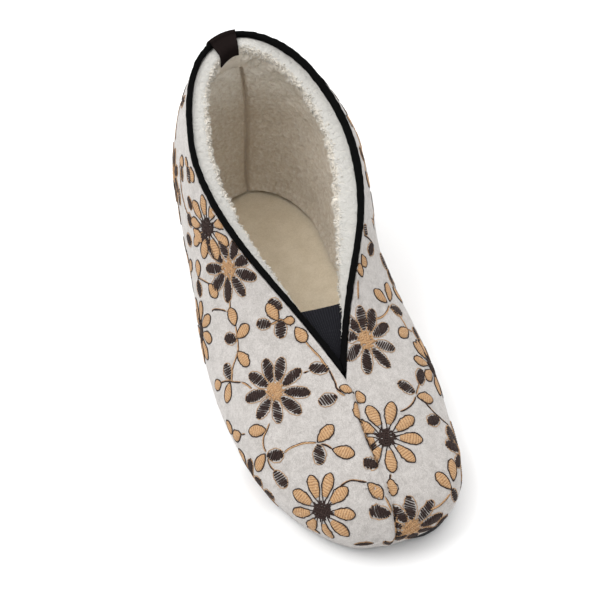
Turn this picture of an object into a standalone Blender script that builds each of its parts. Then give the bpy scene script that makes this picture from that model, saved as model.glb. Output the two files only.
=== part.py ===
"""Ankle-high felt slipper for the right foot, with a deep V throat.

Frame: metres, +Z up, the floor at Z = 0, the toe towards -Y, the medial (big toe) side at +X.
Every piece is worked out from one surface, the outside of the felt upper. That surface runs
round the foot through ten sections a side, and each section climbs from the sole's edge, over
the belly and the shoulder of the wall, to the vamp seam or the collar.
"""

from collections import namedtuple
from math import pi, sin

import bmesh
import bpy
import numpy as np
from mathutils import Matrix

# Driving sizes of the last and the upper.
LENGTH = 0.263
BALL_WIDTH = 0.106
HEEL_HEIGHT = 0.1215
BELLY_HEIGHT = 0.017
FEATHER_INSET = 0.0045
SEAM_RIDGE = 0.0010

# Thicknesses of the layers, and the space between two pieces.
FELT = 0.0025
FLEECE_COLLAR = 0.0082
FLEECE_THROAT = 0.0020
FLEECE_CROWN = 0.0020
GAP = 0.0003

# Sole and insole.
SOLE_THICKNESS = 0.0045
SOLE_MARGIN = 0.0012
SOLE_EDGE_RADIUS = 0.0014
TOE_SPRING = 0.0045
TOE_SPRING_SHARE = 0.20
HEEL_SPRING = 0.0008
HEEL_SPRING_SHARE = 0.07
INSOLE_THICKNESS = 0.0040
INSOLE_CLEARANCE = 0.0007
INSOLE_EDGE_RADIUS = 0.0010

# Trim.
BINDING_HEIGHT = 0.0030
BINDING_OVERHANG = 0.0003
GUSSET_THICKNESS = 0.0012
GUSSET_TUCK = 0.0030
TAB_WIDTH = 0.0165
TAB_THICKNESS = 0.0008
TAB_INNER_LEG = 0.0035
TAB_OUTER_LEG = 0.0110

# Mesh density. Rows are shares of the wall's height. The fleece's crown is in shares of its
# thickness and of its rise, and its inside in shares of the wall's height and its thickness.
COLUMNS_PER_SECTION = 4
WALL_ROWS = (0, 0.05, 0.11, 0.19, 0.30, 0.42, 0.54, 0.66, 0.77, 0.87, 0.945, 1)
CUFF_CROWN = ((0.08, 0.6), (0.38, 1.0), (0.72, 0.7))
CUFF_INSIDE = ((0.968, 0.98), (0.935, 1.0), (0.900, 0.92), (WALL_ROWS[-3], 0.65))
GUSSET_ROWS = 9
GUSSET_COLUMNS = 8
TAB_COLUMNS = 7

# Places round the foot, counted in sections from the toe seam over the medial side.
TURN = 20
THROAT = 4
HEEL = 10
BINDING_START = 4.12
CUFF_START = 4.50
GUSSET_END = 5.12

# The plan of the belly, a row for each section: along is a share of LENGTH from the toe, side
# a share of half the BALL_WIDTH with the medial side positive, rise how high the wall's
# shoulder lies and fullness how far it stands out, both as shares of the way up the wall.
Station = namedtuple("Station", "along side rise fullness")
STATIONS = (
    Station(0.006, -0.038, 0.58, 0.130),
    Station(0.002, 0.400, 0.58, 0.105),
    Station(0.041, 0.740, 0.58, 0.095),
    Station(0.127, 0.915, 0.58, 0.135),
    Station(0.255, 1.005, 0.58, 0.180),
    Station(0.395, 1.030, 0.60, 0.130),
    Station(0.540, 0.925, 0.68, 0.045),
    Station(0.684, 0.835, 0.80, 0.065),
    Station(0.825, 0.810, 0.80, 0.085),
    Station(0.943, 0.570, 0.80, 0.065),
    Station(1.000, 0.038, 0.74, 0.015),
    Station(0.939, -0.545, 0.84, 0.040),
    Station(0.821, -0.730, 0.78, 0.040),
    Station(0.692, -0.825, 0.70, 0.055),
    Station(0.555, -0.965, 0.62, 0.105),
    Station(0.418, -1.030, 0.58, 0.152),
    Station(0.293, -0.995, 0.58, 0.180),
    Station(0.183, -0.880, 0.58, 0.135),
    Station(0.093, -0.650, 0.58, 0.095),
    Station(0.027, -0.345, 0.58, 0.105),
)

# The upper edge of the wall: first the vamp seam from the toe to the throat, then the collar
# from the throat over the medial side and the heel back to the throat. The shares are as
# above, and height is a share of HEEL_HEIGHT.
Edge = namedtuple("Edge", "along side height")
SEAM = (
    Edge(0.070, -0.011, 0.315),
    Edge(0.106, 0.000, 0.368),
    Edge(0.148, 0.019, 0.410),
    Edge(0.198, 0.043, 0.444),
    Edge(0.260, 0.075, 0.477),
)
COLLAR = (
    SEAM[-1],
    Edge(0.395, 0.365, 0.576),
    Edge(0.540, 0.740, 0.710),
    Edge(0.684, 0.905, 0.838),
    Edge(0.814, 0.830, 0.930),
    Edge(0.924, 0.590, 0.984),
    Edge(0.985, 0.132, 1.000),
    Edge(0.932, -0.345, 0.984),
    Edge(0.806, -0.600, 0.926),
    Edge(0.692, -0.665, 0.843),
    Edge(0.551, -0.510, 0.719),
    Edge(0.403, -0.185, 0.580),
    SEAM[-1],
)


def spline(points, knots, closed=False):
    """A smooth curve through points, as a function of the knot value."""
    points, knots = np.array(points, float), np.array(knots, float)
    steps = np.diff(knots)[:, None]
    slopes = slopes_of(points, steps, closed)

    def at(value):
        if closed:
            value = (value - knots[0]) % (knots[-1] - knots[0]) + knots[0]
        i = int(np.clip(np.searchsorted(knots, value, "right") - 1, 0, len(steps) - 1))
        j = (i + 1) % len(points)
        step = steps[i]
        t = (value - knots[i]) / step
        start = (1 + 2 * t) * points[i] + t * step * slopes[i]
        end = (3 - 2 * t) * points[j] - (1 - t) * step * slopes[j]
        return (1 - t) ** 2 * start + t**2 * end

    return at


def slopes_of(points, steps, closed):
    """The slopes at the points that make the curve's bend run on smoothly."""
    count = len(points)
    system, rises = np.zeros((count, count)), np.zeros(points.shape)
    for i in range(count):
        before, after = (i - 1) % count, (i + 1) % count
        if not closed and i == 0:
            system[i, i], system[i, after] = 2, 1
            rises[i] = 3 * (points[after] - points[i]) / steps[i]
        elif not closed and after == 0:
            system[i, i], system[i, before] = 2, 1
            rises[i] = 3 * (points[i] - points[before]) / steps[before]
        else:
            near, far = steps[i - 1][0], steps[i % len(steps)][0]
            system[i, before] += far
            system[i, i] += 2 * (near + far)
            system[i, after] += near
            climb = (points[after] - points[i]) / far
            fall = (points[i] - points[before]) / near
            rises[i] = 3 * (near * climb + far * fall)
    return np.linalg.solve(system, rises)


def place(along, side, height=0):
    """A point from shares of the length, of half the ball width and of the heel's height."""
    return np.array([side * BALL_WIDTH / 2, (along - 0.5) * LENGTH, height * HEEL_HEIGHT])


def unit(way):
    return way / np.linalg.norm(way)


def sole_top(y):
    """Height of the sole's top at a place along the shoe: flat, with a spring at each end."""
    along = y / LENGTH + 0.5
    toe = max(0, 1 - along / TOE_SPRING_SHARE)
    heel = max(0, 1 - (1 - along) / HEEL_SPRING_SHARE)
    return SOLE_THICKNESS + TOE_SPRING * toe**2 + HEEL_SPRING * heel**2


def over_sole(point, height):
    """The plan point raised to a height above the sole's top."""
    return np.array([point[0], point[1], sole_top(point[1]) + height])


class Last:
    """The outside of the felt: a surface of the place round the foot and the share of the
    way up the wall."""

    def __init__(self):
        plan = [place(row.along, row.side) for row in STATIONS]
        self.outline = spline(plan, range(TURN + 1), closed=True)
        self.seam = spline([place(*row) for row in SEAM], range(THROAT + 1))
        rim = range(THROAT, TURN - THROAT + 1)
        self.collar = spline([place(*row) for row in COLLAR], rim)
        shoulders = [self.shoulder_of(u, row) for u, row in enumerate(STATIONS)]
        self.shoulder = spline(shoulders, range(TURN + 1), closed=True)

    def outward(self, u):
        """The level direction out of the shoe."""
        step = 0.01
        along = self.outline(u + step) - self.outline(u - step)
        return unit(np.array([along[1], -along[0], 0]))

    def inset(self, u, distance):
        """The plan of the belly moved in by a distance."""
        return self.outline(u) - distance * self.outward(u)

    def foot(self, u):
        """The lower edge of the wall, just over the sole."""
        return over_sole(self.inset(u, FEATHER_INSET), GAP)

    def belly(self, u):
        return over_sole(self.outline(u), BELLY_HEIGHT - SOLE_THICKNESS)

    def top(self, u):
        """The upper edge of the wall: the vamp seam near the toe, and the collar behind."""
        u %= TURN
        if THROAT <= u <= TURN - THROAT:
            return self.collar(u)
        return self.seam(min(u, TURN - u))

    def shoulder_of(self, u, row):
        """Where a section's wall stands out from the straight way up."""
        low, high = self.belly(u), self.top(u)
        way = high - low
        out = self.outward(u) + np.array([0, 0, 1])
        out = unit(out - way * (out @ way) / (way @ way))
        return low + row.rise * way + row.fullness * np.linalg.norm(way) * out

    def wall(self, u):
        """The wall's line at a place round the foot, from 0 at the sole to 1 at the top."""
        stops = [self.foot(u), self.belly(u), self.shoulder(u), self.top(u)]
        spans = [np.linalg.norm(high - low) for low, high in zip(stops, stops[1:])]
        return spline(stops, np.concatenate([[0], np.cumsum(spans)]) / sum(spans))

    def at(self, u, v):
        return self.wall(u)(v)

    def is_seam(self, u):
        """Whether the wall ends at the vamp seam here, the throat's own point too."""
        here = u % TURN
        return here <= THROAT or here >= TURN - THROAT

    def normal(self, u, v):
        """The direction out of the felt, taken to one side at the throat's corner."""
        step = 0.02
        up = self.at(u, min(1, v + step)) - self.at(u, max(0, v - step))
        back, ahead = u - step, u + step
        if v == 1 and u % TURN == THROAT:
            back, ahead = u, u + 2 * step
        if v == 1 and u % TURN == TURN - THROAT:
            back, ahead = u - 2 * step, u
        return unit(np.cross(self.at(ahead, v) - self.at(back, v), up))

    def under(self, u, v, depth):
        """A point a depth inside the outside. Both sides share it along the vamp seam."""
        near = self.at(u, v) - depth * self.normal(u, v)
        if v < 1 or not self.is_seam(u):
            return near
        return (near + self.at(-u, v) - depth * self.normal(-u, v)) / 2

    def up_the_wall(self, u):
        """The direction from the wall out over the collar's edge."""
        return unit(self.at(u, 1) - self.at(u, 0.96))

    def down_from_top(self, u, distance):
        """The share of the wall's line at a distance below its top."""
        rows = [self.at(u, v) for v in WALL_ROWS]
        return 1 - distance / sum(np.linalg.norm(b - a) for a, b in zip(rows, rows[1:]))


def fleece(u):
    """Thickness of the fleece: thin at the throat and full round the ankle."""
    share = float(np.clip((min(u, TURN - u) - THROAT) / 3, 0, 1))
    return FLEECE_THROAT + (FLEECE_COLLAR - FLEECE_THROAT) * share**2 * (3 - 2 * share)


def places(start, end, per_section=COLUMNS_PER_SECTION):
    """Places round the foot from start to end, as evenly spaced as the mesh's columns."""
    count = round((end - start) * per_section)
    return [start + (end - start) * i / count for i in range(count + 1)]


def material(name, colour, roughness):
    made = bpy.data.materials.new(name)
    made.use_nodes = True
    shader = made.node_tree.nodes["Principled BSDF"]
    shader.inputs["Base Color"].default_value = (*colour, 1)
    shader.inputs["Roughness"].default_value = roughness
    shader.inputs["Metallic"].default_value = 0
    return made


def finished(name, mesh, finish):
    """An object of a bmesh, welded, with its faces pointing out and its round parts smooth."""
    bmesh.ops.remove_doubles(mesh, verts=mesh.verts, dist=1e-6)
    bmesh.ops.recalc_face_normals(mesh, faces=mesh.faces)
    data = bpy.data.meshes.new(name)
    mesh.to_mesh(data)
    mesh.free()
    data.shade_smooth()
    data.set_sharp_from_angle(angle=0.9)
    data.materials.append(finish)
    made = bpy.data.objects.new(name, data)
    bpy.context.scene.collection.objects.link(made)
    return made


def points_of(mesh, rings):
    return [[mesh.verts.new(point) for point in ring] for ring in rings]


def join(mesh, one, two, closed=True, left_open=None):
    """A band of faces between two rings of the same count."""
    count = len(one)
    for i in range(count if closed else count - 1):
        j = (i + 1) % count
        if i != left_open:
            mesh.faces.new((one[i], one[j], two[j], two[i]))


def strip(name, rings, finish):
    """A solid through closed rings, with a face across each end."""
    mesh = bmesh.new()
    loops = points_of(mesh, rings)
    for one, two in zip(loops, loops[1:]):
        join(mesh, one, two)
    mesh.faces.new(loops[0])
    mesh.faces.new(loops[-1])
    return finished(name, mesh, finish)


def ridge(last, u):
    """How the vamp seam stands up from the felt, fading at both its ends."""
    here = min(u, TURN - u)
    lift = unit(last.normal(u, 1) + last.normal(-u, 1))
    return SEAM_RIDGE * sin(pi * here / THROAT) * lift


def wall_ring(last, u):
    """The closed line round the felt at one place: up the outside and down the inside."""
    outer = [last.at(u, v) for v in WALL_ROWS]
    if last.is_seam(u):
        outer[-1] = last.top(u) + ridge(last, u)
    inner = [last.under(u, v, FELT) for v in reversed(WALL_ROWS)]
    inner[-1] = over_sole(inner[-1], GAP)
    return outer + inner


def build_upper(last):
    """The felt wall, open at the collar, at the throat and underneath. Along the vamp seam
    the two sides end on shared points, so no face closes the wall's end there."""
    mesh = bmesh.new()
    steps = places(0, TURN)[:-1]
    loops = points_of(mesh, [wall_ring(last, u) for u in steps])
    top = len(WALL_ROWS) - 1
    for u, one, two in zip(steps, loops, loops[1:] + loops[:1]):
        both_on_seam = last.is_seam(u) and last.is_seam(u + 1 / COLUMNS_PER_SECTION)
        join(mesh, one, two, left_open=top if both_on_seam else None)
    return finished("upper", mesh, material("felt", (0.62, 0.58, 0.54), 0.95))


def slab(last, name, inset, low, high, radius, finish):
    """A sole-shaped slab between two heights over the sole's top, with rounded edges. Its
    flat sides are ladders of faces from the medial edge to the lateral one."""
    mesh = bmesh.new()
    levels = ((radius, low), (0, low + radius), (0, high - radius), (radius, high))
    steps = places(0, TURN)[:-1]
    rings = [
        [over_sole(last.inset(u, inset + extra), height) for u in steps]
        for extra, height in levels
    ]
    loops = points_of(mesh, rings)
    for one, two in zip(loops, loops[1:]):
        join(mesh, one, two)
    for ring in (loops[0], loops[-1]):
        medial = ring[1 : len(ring) // 2]
        lateral = ring[: len(ring) // 2 : -1]
        join(mesh, medial, lateral, closed=False)
        mesh.faces.new((ring[0], medial[0], lateral[0]))
        mesh.faces.new((ring[len(ring) // 2], medial[-1], lateral[-1]))
    return finished(name, mesh, finish)


def build_outsole(last):
    inset = FEATHER_INSET - SOLE_MARGIN
    finish = material("sole_rubber", (0.03, 0.03, 0.035), 0.8)
    return slab(last, "outsole", inset, -SOLE_THICKNESS, 0, SOLE_EDGE_RADIUS, finish)


def build_insole(last):
    inset = FEATHER_INSET + FELT + INSOLE_CLEARANCE
    finish = material("insole_felt", (0.55, 0.48, 0.34), 0.95)
    high = GAP + INSOLE_THICKNESS
    return slab(last, "insole", inset, GAP, high, INSOLE_EDGE_RADIUS, finish)


def collar_point(last, u, depth, height):
    """A point by the collar: a depth in from the felt's outside, a height over its edge."""
    return last.under(u, 1, depth) + height * last.up_the_wall(u)


def kept_to_side(last, u, point):
    """The point held to its own side of the middle of the V."""
    tip = last.top(THROAT)
    middle = (last.top(THROAT + 1) + last.top(TURN - THROAT - 1)) / 2
    axis = unit(np.array([middle[0] - tip[0], middle[1] - tip[1], 0]))
    medial = np.array([axis[1], -axis[0], 0])
    side = 1 if u < HEEL else -1
    short = GAP / 2 - side * ((point - tip) @ medial)
    return point + max(0, short) * side * medial


def build_binding(last):
    """The tape over the felt's edge, round the collar from the throat back to the throat."""
    outer, inner = -BINDING_OVERHANG, FELT + BINDING_OVERHANG
    middle, low, high = (outer + inner) / 2, GAP, GAP + BINDING_HEIGHT
    shoulder = low + 0.62 * BINDING_HEIGHT
    profile = (
        (outer, low),
        (outer, shoulder),
        ((outer + middle) / 2, high - 0.1 * BINDING_HEIGHT),
        (middle, high),
        ((inner + middle) / 2, high - 0.1 * BINDING_HEIGHT),
        (inner, shoulder),
        (inner, low),
    )
    rings = [
        [kept_to_side(last, u, collar_point(last, u, *point)) for point in profile]
        for u in places(BINDING_START, TURN - BINDING_START, 5)
    ]
    finish = material("binding_tape", (0.012, 0.012, 0.014), 0.85)
    return strip("collar_binding", rings, finish)


def cuff_ring(last, u):
    """The fleece's section at one place: up beside the felt, over beside the binding, and
    down inside."""
    start, thick = FELT + BINDING_OVERHANG + GAP, fleece(u)
    ring = [last.under(u, v, start) for v in WALL_ROWS[-3:]]
    for share, height in CUFF_CROWN:
        ring.append(collar_point(last, u, start + share * thick, height * FLEECE_CROWN))
    for v, share in CUFF_INSIDE:
        ring.append(last.under(u, v, start + share * thick))
    return ring


def build_cuff(last):
    """The thick fleece edge of the lining, from one side of the V round the heel."""
    rings = [cuff_ring(last, u) for u in places(CUFF_START, TURN - CUFF_START)]
    return strip("fleece_cuff", rings, material("fleece", (0.80, 0.76, 0.68), 1.0))


def gusset_ring(last, u):
    """The elastic panel's section across the V, its edges tucked under the fleece."""
    depth = FELT + BINDING_OVERHANG + fleece(u) + 2 * GAP
    share = last.down_from_top(u, GUSSET_TUCK)
    medial, lateral = (last.under(side, share, depth) for side in (u, TURN - u))
    way = np.linspace(0, 1, GUSSET_COLUMNS + 1)[:, None]
    upper = list(medial + way * (lateral - medial))
    lower = [point - np.array([0, 0, GUSSET_THICKNESS]) for point in reversed(upper)]
    return upper + lower


def build_gusset(last):
    rings = [gusset_ring(last, u) for u in places(THROAT, GUSSET_END, GUSSET_ROWS)]
    return strip("gusset", rings, material("elastic", (0.015, 0.015, 0.018), 0.7))


def tab_end(last):
    """Where the pull tab ends, its width along the collar from the heel seam."""
    u, run = HEEL, 0
    step = 0.01
    while run < TAB_WIDTH:
        run += np.linalg.norm(last.top(u + step) - last.top(u))
        u += step
    return u


def tab_ring(last, u):
    """The tab's section: up the back, over the binding and the fleece, and down inside."""
    over = GAP + BINDING_HEIGHT + GAP
    outside = -BINDING_OVERHANG - GAP
    fleece_side = FELT + BINDING_OVERHANG + 3 * GAP
    path = [
        (outside, -TAB_OUTER_LEG),
        (outside, -TAB_OUTER_LEG / 2),
        (outside, GAP + 0.6 * BINDING_HEIGHT),
        (FELT / 2, over),
        (FELT + BINDING_OVERHANG, over - 0.2 * BINDING_HEIGHT),
        (fleece_side + 0.4 * fleece(u), FLEECE_CROWN + 2 * GAP),
        (fleece_side + 0.8 * fleece(u), 0.7 * FLEECE_CROWN + GAP),
        (fleece_side + fleece(u), -TAB_INNER_LEG),
    ]
    middle = [collar_point(last, u, *point) for point in path]
    return thick_line(middle, last.outward(u))


def thick_line(points, outward):
    """A closed ring round a line of points, thickened on the side away from the wall."""
    lifted = []
    for i, point in enumerate(points):
        along = unit(points[min(i + 1, len(points) - 1)] - points[max(i - 1, 0)])
        across = unit(np.cross(outward, [0, 0, 1]))
        lifted.append(point + TAB_THICKNESS * unit(np.cross(along, across)))
    return points + lifted[::-1]


def build_tab(last):
    """The pull tab at the heel, from the back seam over to the lateral side."""
    end = tab_end(last)
    count = TAB_COLUMNS - 1
    rings = [tab_ring(last, HEEL + (end - HEEL) * i / count) for i in range(TAB_COLUMNS)]
    return strip("heel_tab", rings, material("tab_webbing", (0.045, 0.03, 0.025), 0.85))


def stand_on_centre(pieces):
    """Moves all pieces together, so that the frame's origin is the middle of the base."""
    plan = np.array([corner.co[:2] for piece in pieces for corner in piece.data.vertices])
    middle = (plan.min(axis=0) + plan.max(axis=0)) / 2
    for piece in pieces:
        piece.data.transform(Matrix.Translation((-middle[0], -middle[1], 0)))


def main():
    for old in list(bpy.data.objects):
        bpy.data.objects.remove(old)
    last = Last()
    pieces = [
        build_upper(last),
        build_outsole(last),
        build_insole(last),
        build_binding(last),
        build_cuff(last),
        build_gusset(last),
        build_tab(last),
    ]
    stand_on_centre(pieces)


main()
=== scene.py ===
"""A felt bootie slipper for the right foot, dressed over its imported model.

Frame: metres, +Z up, the floor at Z = 0, the toe towards -Y, the medial (big toe) side at +X.
Every piece is laid on one surface, the outside of the felt. A place on it is u, counted in
sections round the foot from the toe seam over the medial side, and v, the share of the way up
the wall from the sole's edge to the vamp seam or the collar.
"""

import logging
from dataclasses import dataclass, field
from enum import Enum
from math import ceil, cos, pi, radians, sin
from typing import Callable, Iterable, Optional, Union
import bmesh
import bpy
import numpy as np
from mathutils import Matrix, Vector, noise
from mathutils.bvhtree import BVHTree


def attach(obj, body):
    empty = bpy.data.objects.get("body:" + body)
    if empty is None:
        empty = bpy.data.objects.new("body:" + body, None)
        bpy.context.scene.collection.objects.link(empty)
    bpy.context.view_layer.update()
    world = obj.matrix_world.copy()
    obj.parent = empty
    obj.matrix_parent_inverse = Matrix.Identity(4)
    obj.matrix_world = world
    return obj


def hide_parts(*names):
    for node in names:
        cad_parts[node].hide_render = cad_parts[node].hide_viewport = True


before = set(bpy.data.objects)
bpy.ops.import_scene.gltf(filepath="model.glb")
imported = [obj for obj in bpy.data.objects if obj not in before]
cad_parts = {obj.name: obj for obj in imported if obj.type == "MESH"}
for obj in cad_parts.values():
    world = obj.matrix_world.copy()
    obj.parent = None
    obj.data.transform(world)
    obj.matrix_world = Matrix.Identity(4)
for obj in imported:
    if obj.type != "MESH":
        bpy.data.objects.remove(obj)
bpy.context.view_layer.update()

LOG = logging.getLogger("slipper")
BODY = "root"
# name of the per-point share that the fleece finish reads: the pile's tone, with painted light and
# shade on the edge, tufts and pile
TONE_AND_SHADE = "tone_and_shade"
# sections: all round the foot, to the V's tip, and to the heel
TURN = 20
THROAT = 4
HEEL = 10
# clearance between pieces, how close points are joined, and the millimetres in a metre
GAP = 0.0003
WELD = 2e-6
FINE_WELD = 5e-7
PER_METRE = 1000

Colour = tuple[float, float, float]
Row = tuple[float, float]


class Thread(Enum):
    """The two threads of the embroidery."""

    TAN = "tan"
    DARK = "dark"

    @property
    def other(self) -> "Thread":
        """The thread that goes round this one."""
        return Thread.DARK if self is Thread.TAN else Thread.TAN


# Curves and the surface of the felt


def stretch(t: np.ndarray, step: np.ndarray, ends: tuple, slopes: tuple) -> np.ndarray:
    """One stretch of a smooth curve.

    Args:
        t: Shares of the stretch.
        step: How much the curve's value grows over it.
        ends: Its two end points.
        slopes: The curve's slopes there.

    Returns:
        The points.
    """
    start = (1 + 2 * t) * ends[0] + t * step * slopes[0]
    end = (3 - 2 * t) * ends[1] - (1 - t) * step * slopes[1]
    return (1 - t) ** 2 * start + t**2 * end


class Spline:
    """A smooth curve through points, natural at its ends or closed."""

    def __init__(self, points: np.ndarray, knots: Iterable[float], closed: bool = False):
        """Works out the slopes that make the curve's bend run on smoothly.

        Args:
            points: The points along the first axis, of any shape behind it.
            knots: The curve's value at each point, with one more for a closed curve.
            closed: Whether the curve comes back to its first point.
        """
        self.points = np.array(points, float)
        self.knots = np.array(list(knots), float)
        self.closed = closed
        count, steps = len(self.points), np.diff(self.knots)
        system = np.zeros((count, count))
        rises = np.zeros(self.points.shape)
        for i in range(count):
            before, after = (i - 1) % count, (i + 1) % count
            if not closed and i in (0, count - 1):
                other, step = (after, steps[0]) if i == 0 else (before, steps[-1])
                system[i, i], system[i, other] = 2, 1
                sign = 1 if i == 0 else -1
                rises[i] = 3 * sign * (self.points[other] - self.points[i]) / step
                continue
            near, far = steps[i - 1], steps[i % len(steps)]
            system[i, before] += far
            system[i, i] += 2 * (near + far)
            system[i, after] += near
            climb = (self.points[after] - self.points[i]) / far
            fall = (self.points[i] - self.points[before]) / near
            rises[i] = 3 * (near * climb + far * fall)
        flat = np.linalg.solve(system, rises.reshape(count, -1))
        self.slopes = flat.reshape(self.points.shape)

    def __call__(self, value: Union[float, np.ndarray]) -> np.ndarray:
        """The curve at one value or an array of values.

        Args:
            value: The value or values.

        Returns:
            The points there.
        """
        value = np.asarray(value, float)
        if self.closed:
            value = (value - self.knots[0]) % (self.knots[-1] - self.knots[0]) + self.knots[0]
        last = len(self.knots) - 2
        i = np.clip(np.searchsorted(self.knots, value, "right") - 1, 0, last)
        j = (i + 1) % len(self.points)
        step = self.knots[i + 1] - self.knots[i]
        t = (value - self.knots[i]) / step
        room = value.shape + (1,) * (self.points.ndim - 1)
        t, step = t.reshape(room), step.reshape(room)
        ends, slopes = ((rows[i], rows[j]) for rows in (self.points, self.slopes))
        return stretch(t, step, ends, slopes)


def unit(way: np.ndarray) -> np.ndarray:
    """Directions of length one."""
    return way / np.linalg.norm(way, axis=-1, keepdims=True)


def smooth(share: np.ndarray) -> np.ndarray:
    """A soft step from 0 to 1."""
    share = np.clip(share, 0, 1)
    return share**2 * (3 - 2 * share)


def bell(off: np.ndarray, width: float) -> np.ndarray:
    """A soft bump of height 1, fading over a width."""
    return np.exp(-((off / width) ** 2))


def swell(u: np.ndarray, rise: Row, fall: Row) -> np.ndarray:
    """Grows from 0 to 1 and falls back, each softly, from a place and over a length of places."""
    return smooth((u - rise[0]) / rise[1]) * (1 - smooth((u - fall[0]) / fall[1]))


def closer(columns: int, pull: float = 0.5) -> np.ndarray:
    """Places all round the foot, closer to each other by the toe and heel seams."""
    t = np.linspace(0, 1, columns + 1)
    return TURN * (t - pull * np.sin(4 * pi * t) / (4 * pi))


@dataclass
class Last:
    """The outside of the felt, worked out from the slipper's named sizes."""

    length: float = 0.263
    ball_width: float = 0.106
    heel_height: float = 0.1215
    belly_height: float = 0.017
    feather_inset: float = 0.0045
    sole_thickness: float = 0.0045
    toe_spring: float = 0.0045
    toe_spring_share: float = 0.20
    heel_spring: float = 0.0008
    heel_spring_share: float = 0.07
    felt: float = 0.0025
    overhang: float = 0.0003
    fleece_collar: float = 0.0082
    fleece_throat: float = 0.0020
    # by the big toe the sole juts out, and by the ankle's inner side the fleece swells
    bare: float = 0.7
    bare_rise: Row = (0.2, 0.8)
    bare_fall: Row = (6.5, 3.0)
    ankle_rise: Row = (5.5, 1.2)
    ankle_fall: Row = (9.0, 0.8)
    centre: Row = (-0.00055, -0.00175)

    # along, side, rise of the shoulder and its fullness, a row for each section
    stations: tuple[tuple[float, ...], ...] = (
        (0.006, -0.038, 0.58, 0.130),
        (0.002, 0.400, 0.58, 0.105),
        (0.041, 0.740, 0.58, 0.095),
        (0.127, 0.915, 0.58, 0.135),
        (0.255, 1.005, 0.58, 0.180),
        (0.395, 1.030, 0.60, 0.130),
        (0.540, 0.925, 0.68, 0.045),
        (0.684, 0.835, 0.80, 0.065),
        (0.825, 0.810, 0.80, 0.085),
        (0.943, 0.570, 0.80, 0.065),
        (1.000, 0.038, 0.74, 0.015),
        (0.939, -0.545, 0.84, 0.040),
        (0.821, -0.730, 0.78, 0.040),
        (0.692, -0.825, 0.70, 0.055),
        (0.555, -0.965, 0.62, 0.105),
        (0.418, -1.030, 0.58, 0.152),
        (0.293, -0.995, 0.58, 0.180),
        (0.183, -0.880, 0.58, 0.135),
        (0.093, -0.650, 0.58, 0.095),
        (0.027, -0.345, 0.58, 0.105),
    )
    # along, side and height of the upper edge: the vamp seam, then the collar
    seam_rows: tuple[tuple[float, ...], ...] = (
        (0.070, -0.011, 0.315),
        (0.106, 0.000, 0.368),
        (0.148, 0.019, 0.410),
        (0.198, 0.043, 0.444),
        (0.260, 0.075, 0.477),
    )
    collar_rows: tuple[tuple[float, ...], ...] = (
        (0.260, 0.075, 0.477),
        (0.395, 0.365, 0.576),
        (0.540, 0.740, 0.710),
        (0.684, 0.905, 0.838),
        (0.814, 0.830, 0.930),
        (0.924, 0.590, 0.984),
        (0.985, 0.132, 1.000),
        (0.932, -0.345, 0.984),
        (0.806, -0.600, 0.926),
        (0.692, -0.665, 0.843),
        (0.551, -0.510, 0.719),
        (0.403, -0.185, 0.580),
        (0.260, 0.075, 0.477),
    )

    # place down the toe (height plus half of y) and x of the seam that shows, from the V's tip
    sewn_line: tuple[tuple[float, float], ...] = (
        (0.0255, 0.0034),
        (0.0205, 0.0052),
        (0.0137, 0.0043),
        (0.0098, 0.0031),
        (0.0016, 0.0033),
        (-0.0053, 0.0040),
        (-0.0124, 0.0048),
        (-0.0190, 0.0056),
        (-0.0278, 0.0052),
        (-0.0355, 0.0043),
        (-0.0485, 0.0037),
        (-0.0640, 0.0034),
    )

    # the belly's plan, the vamp seam, the collar and the shoulder, as curves, and the V's tip
    outline: Spline = field(init=False)
    seam: Spline = field(init=False)
    collar: Spline = field(init=False)
    shoulder: Spline = field(init=False)
    tip: np.ndarray = field(init=False)

    def __post_init__(self) -> None:
        """Works out the curves that every piece shares."""
        rows = np.array(self.stations)
        places, around = np.arange(TURN), range(TURN + 1)
        self.outline = Spline(self.place(rows[:, 0], rows[:, 1]), around, closed=True)
        self.seam = Spline(self.place(*np.array(self.seam_rows).T), range(THROAT + 1))
        collar = self.place(*np.array(self.collar_rows).T)
        self.collar = Spline(collar, range(THROAT, TURN - THROAT + 1))
        self.tip = self.top(np.array(THROAT))
        low = self.belly(places)
        way = self.top(places) - low
        out = self.outward(places) + np.array([0, 0, 1])
        across = np.sum(out * way, -1, keepdims=True) / np.sum(way * way, -1, keepdims=True)
        out = unit(out - way * across)
        reach = np.linalg.norm(way, axis=-1, keepdims=True)
        shoulders = low + rows[:, 2:3] * way + rows[:, 3:4] * reach * out
        self.shoulder = Spline(shoulders, around, closed=True)

    def place(self, along: np.ndarray, side: np.ndarray, height: np.ndarray = 0) -> np.ndarray:
        """Points from shares of the slipper's sizes.

        Args:
            along: Shares of the length, from the toe.
            side: Shares of half the ball width, towards the medial side.
            height: Shares of the heel's height.

        Returns:
            The points, in the arguments' common shape.
        """
        along, side, height = np.broadcast_arrays(along, side, height)
        across = side * self.ball_width / 2 + self.centre[0]
        length = (along - 0.5) * self.length + self.centre[1]
        return np.stack([across, length, height * self.heel_height], -1)

    def over_sole(self, point: np.ndarray, height: float) -> np.ndarray:
        """Raises plan points over the sole, which springs up at the toe and a little at the heel.

        Args:
            point: The plan points.
            height: How far over the sole's top they come.

        Returns:
            The raised points.
        """
        along = (point[..., 1] - self.centre[1]) / self.length + 0.5
        toe = np.maximum(0, 1 - along / self.toe_spring_share)
        heel = np.maximum(0, 1 - (1 - along) / self.heel_spring_share)
        raised = np.array(point)
        spring = self.toe_spring * toe**2 + self.heel_spring * heel**2
        raised[..., 2] = self.sole_thickness + spring + height
        return raised

    def outward(self, u: np.ndarray) -> np.ndarray:
        """The level directions out of the shoe.

        Args:
            u: Places round the foot.

        Returns:
            Directions of length one.
        """
        u = np.asarray(u, float)
        along = self.outline(u + 0.01) - self.outline(u - 0.01)
        return unit(np.stack([along[..., 1], -along[..., 0], 0 * along[..., 0]], -1))

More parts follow.
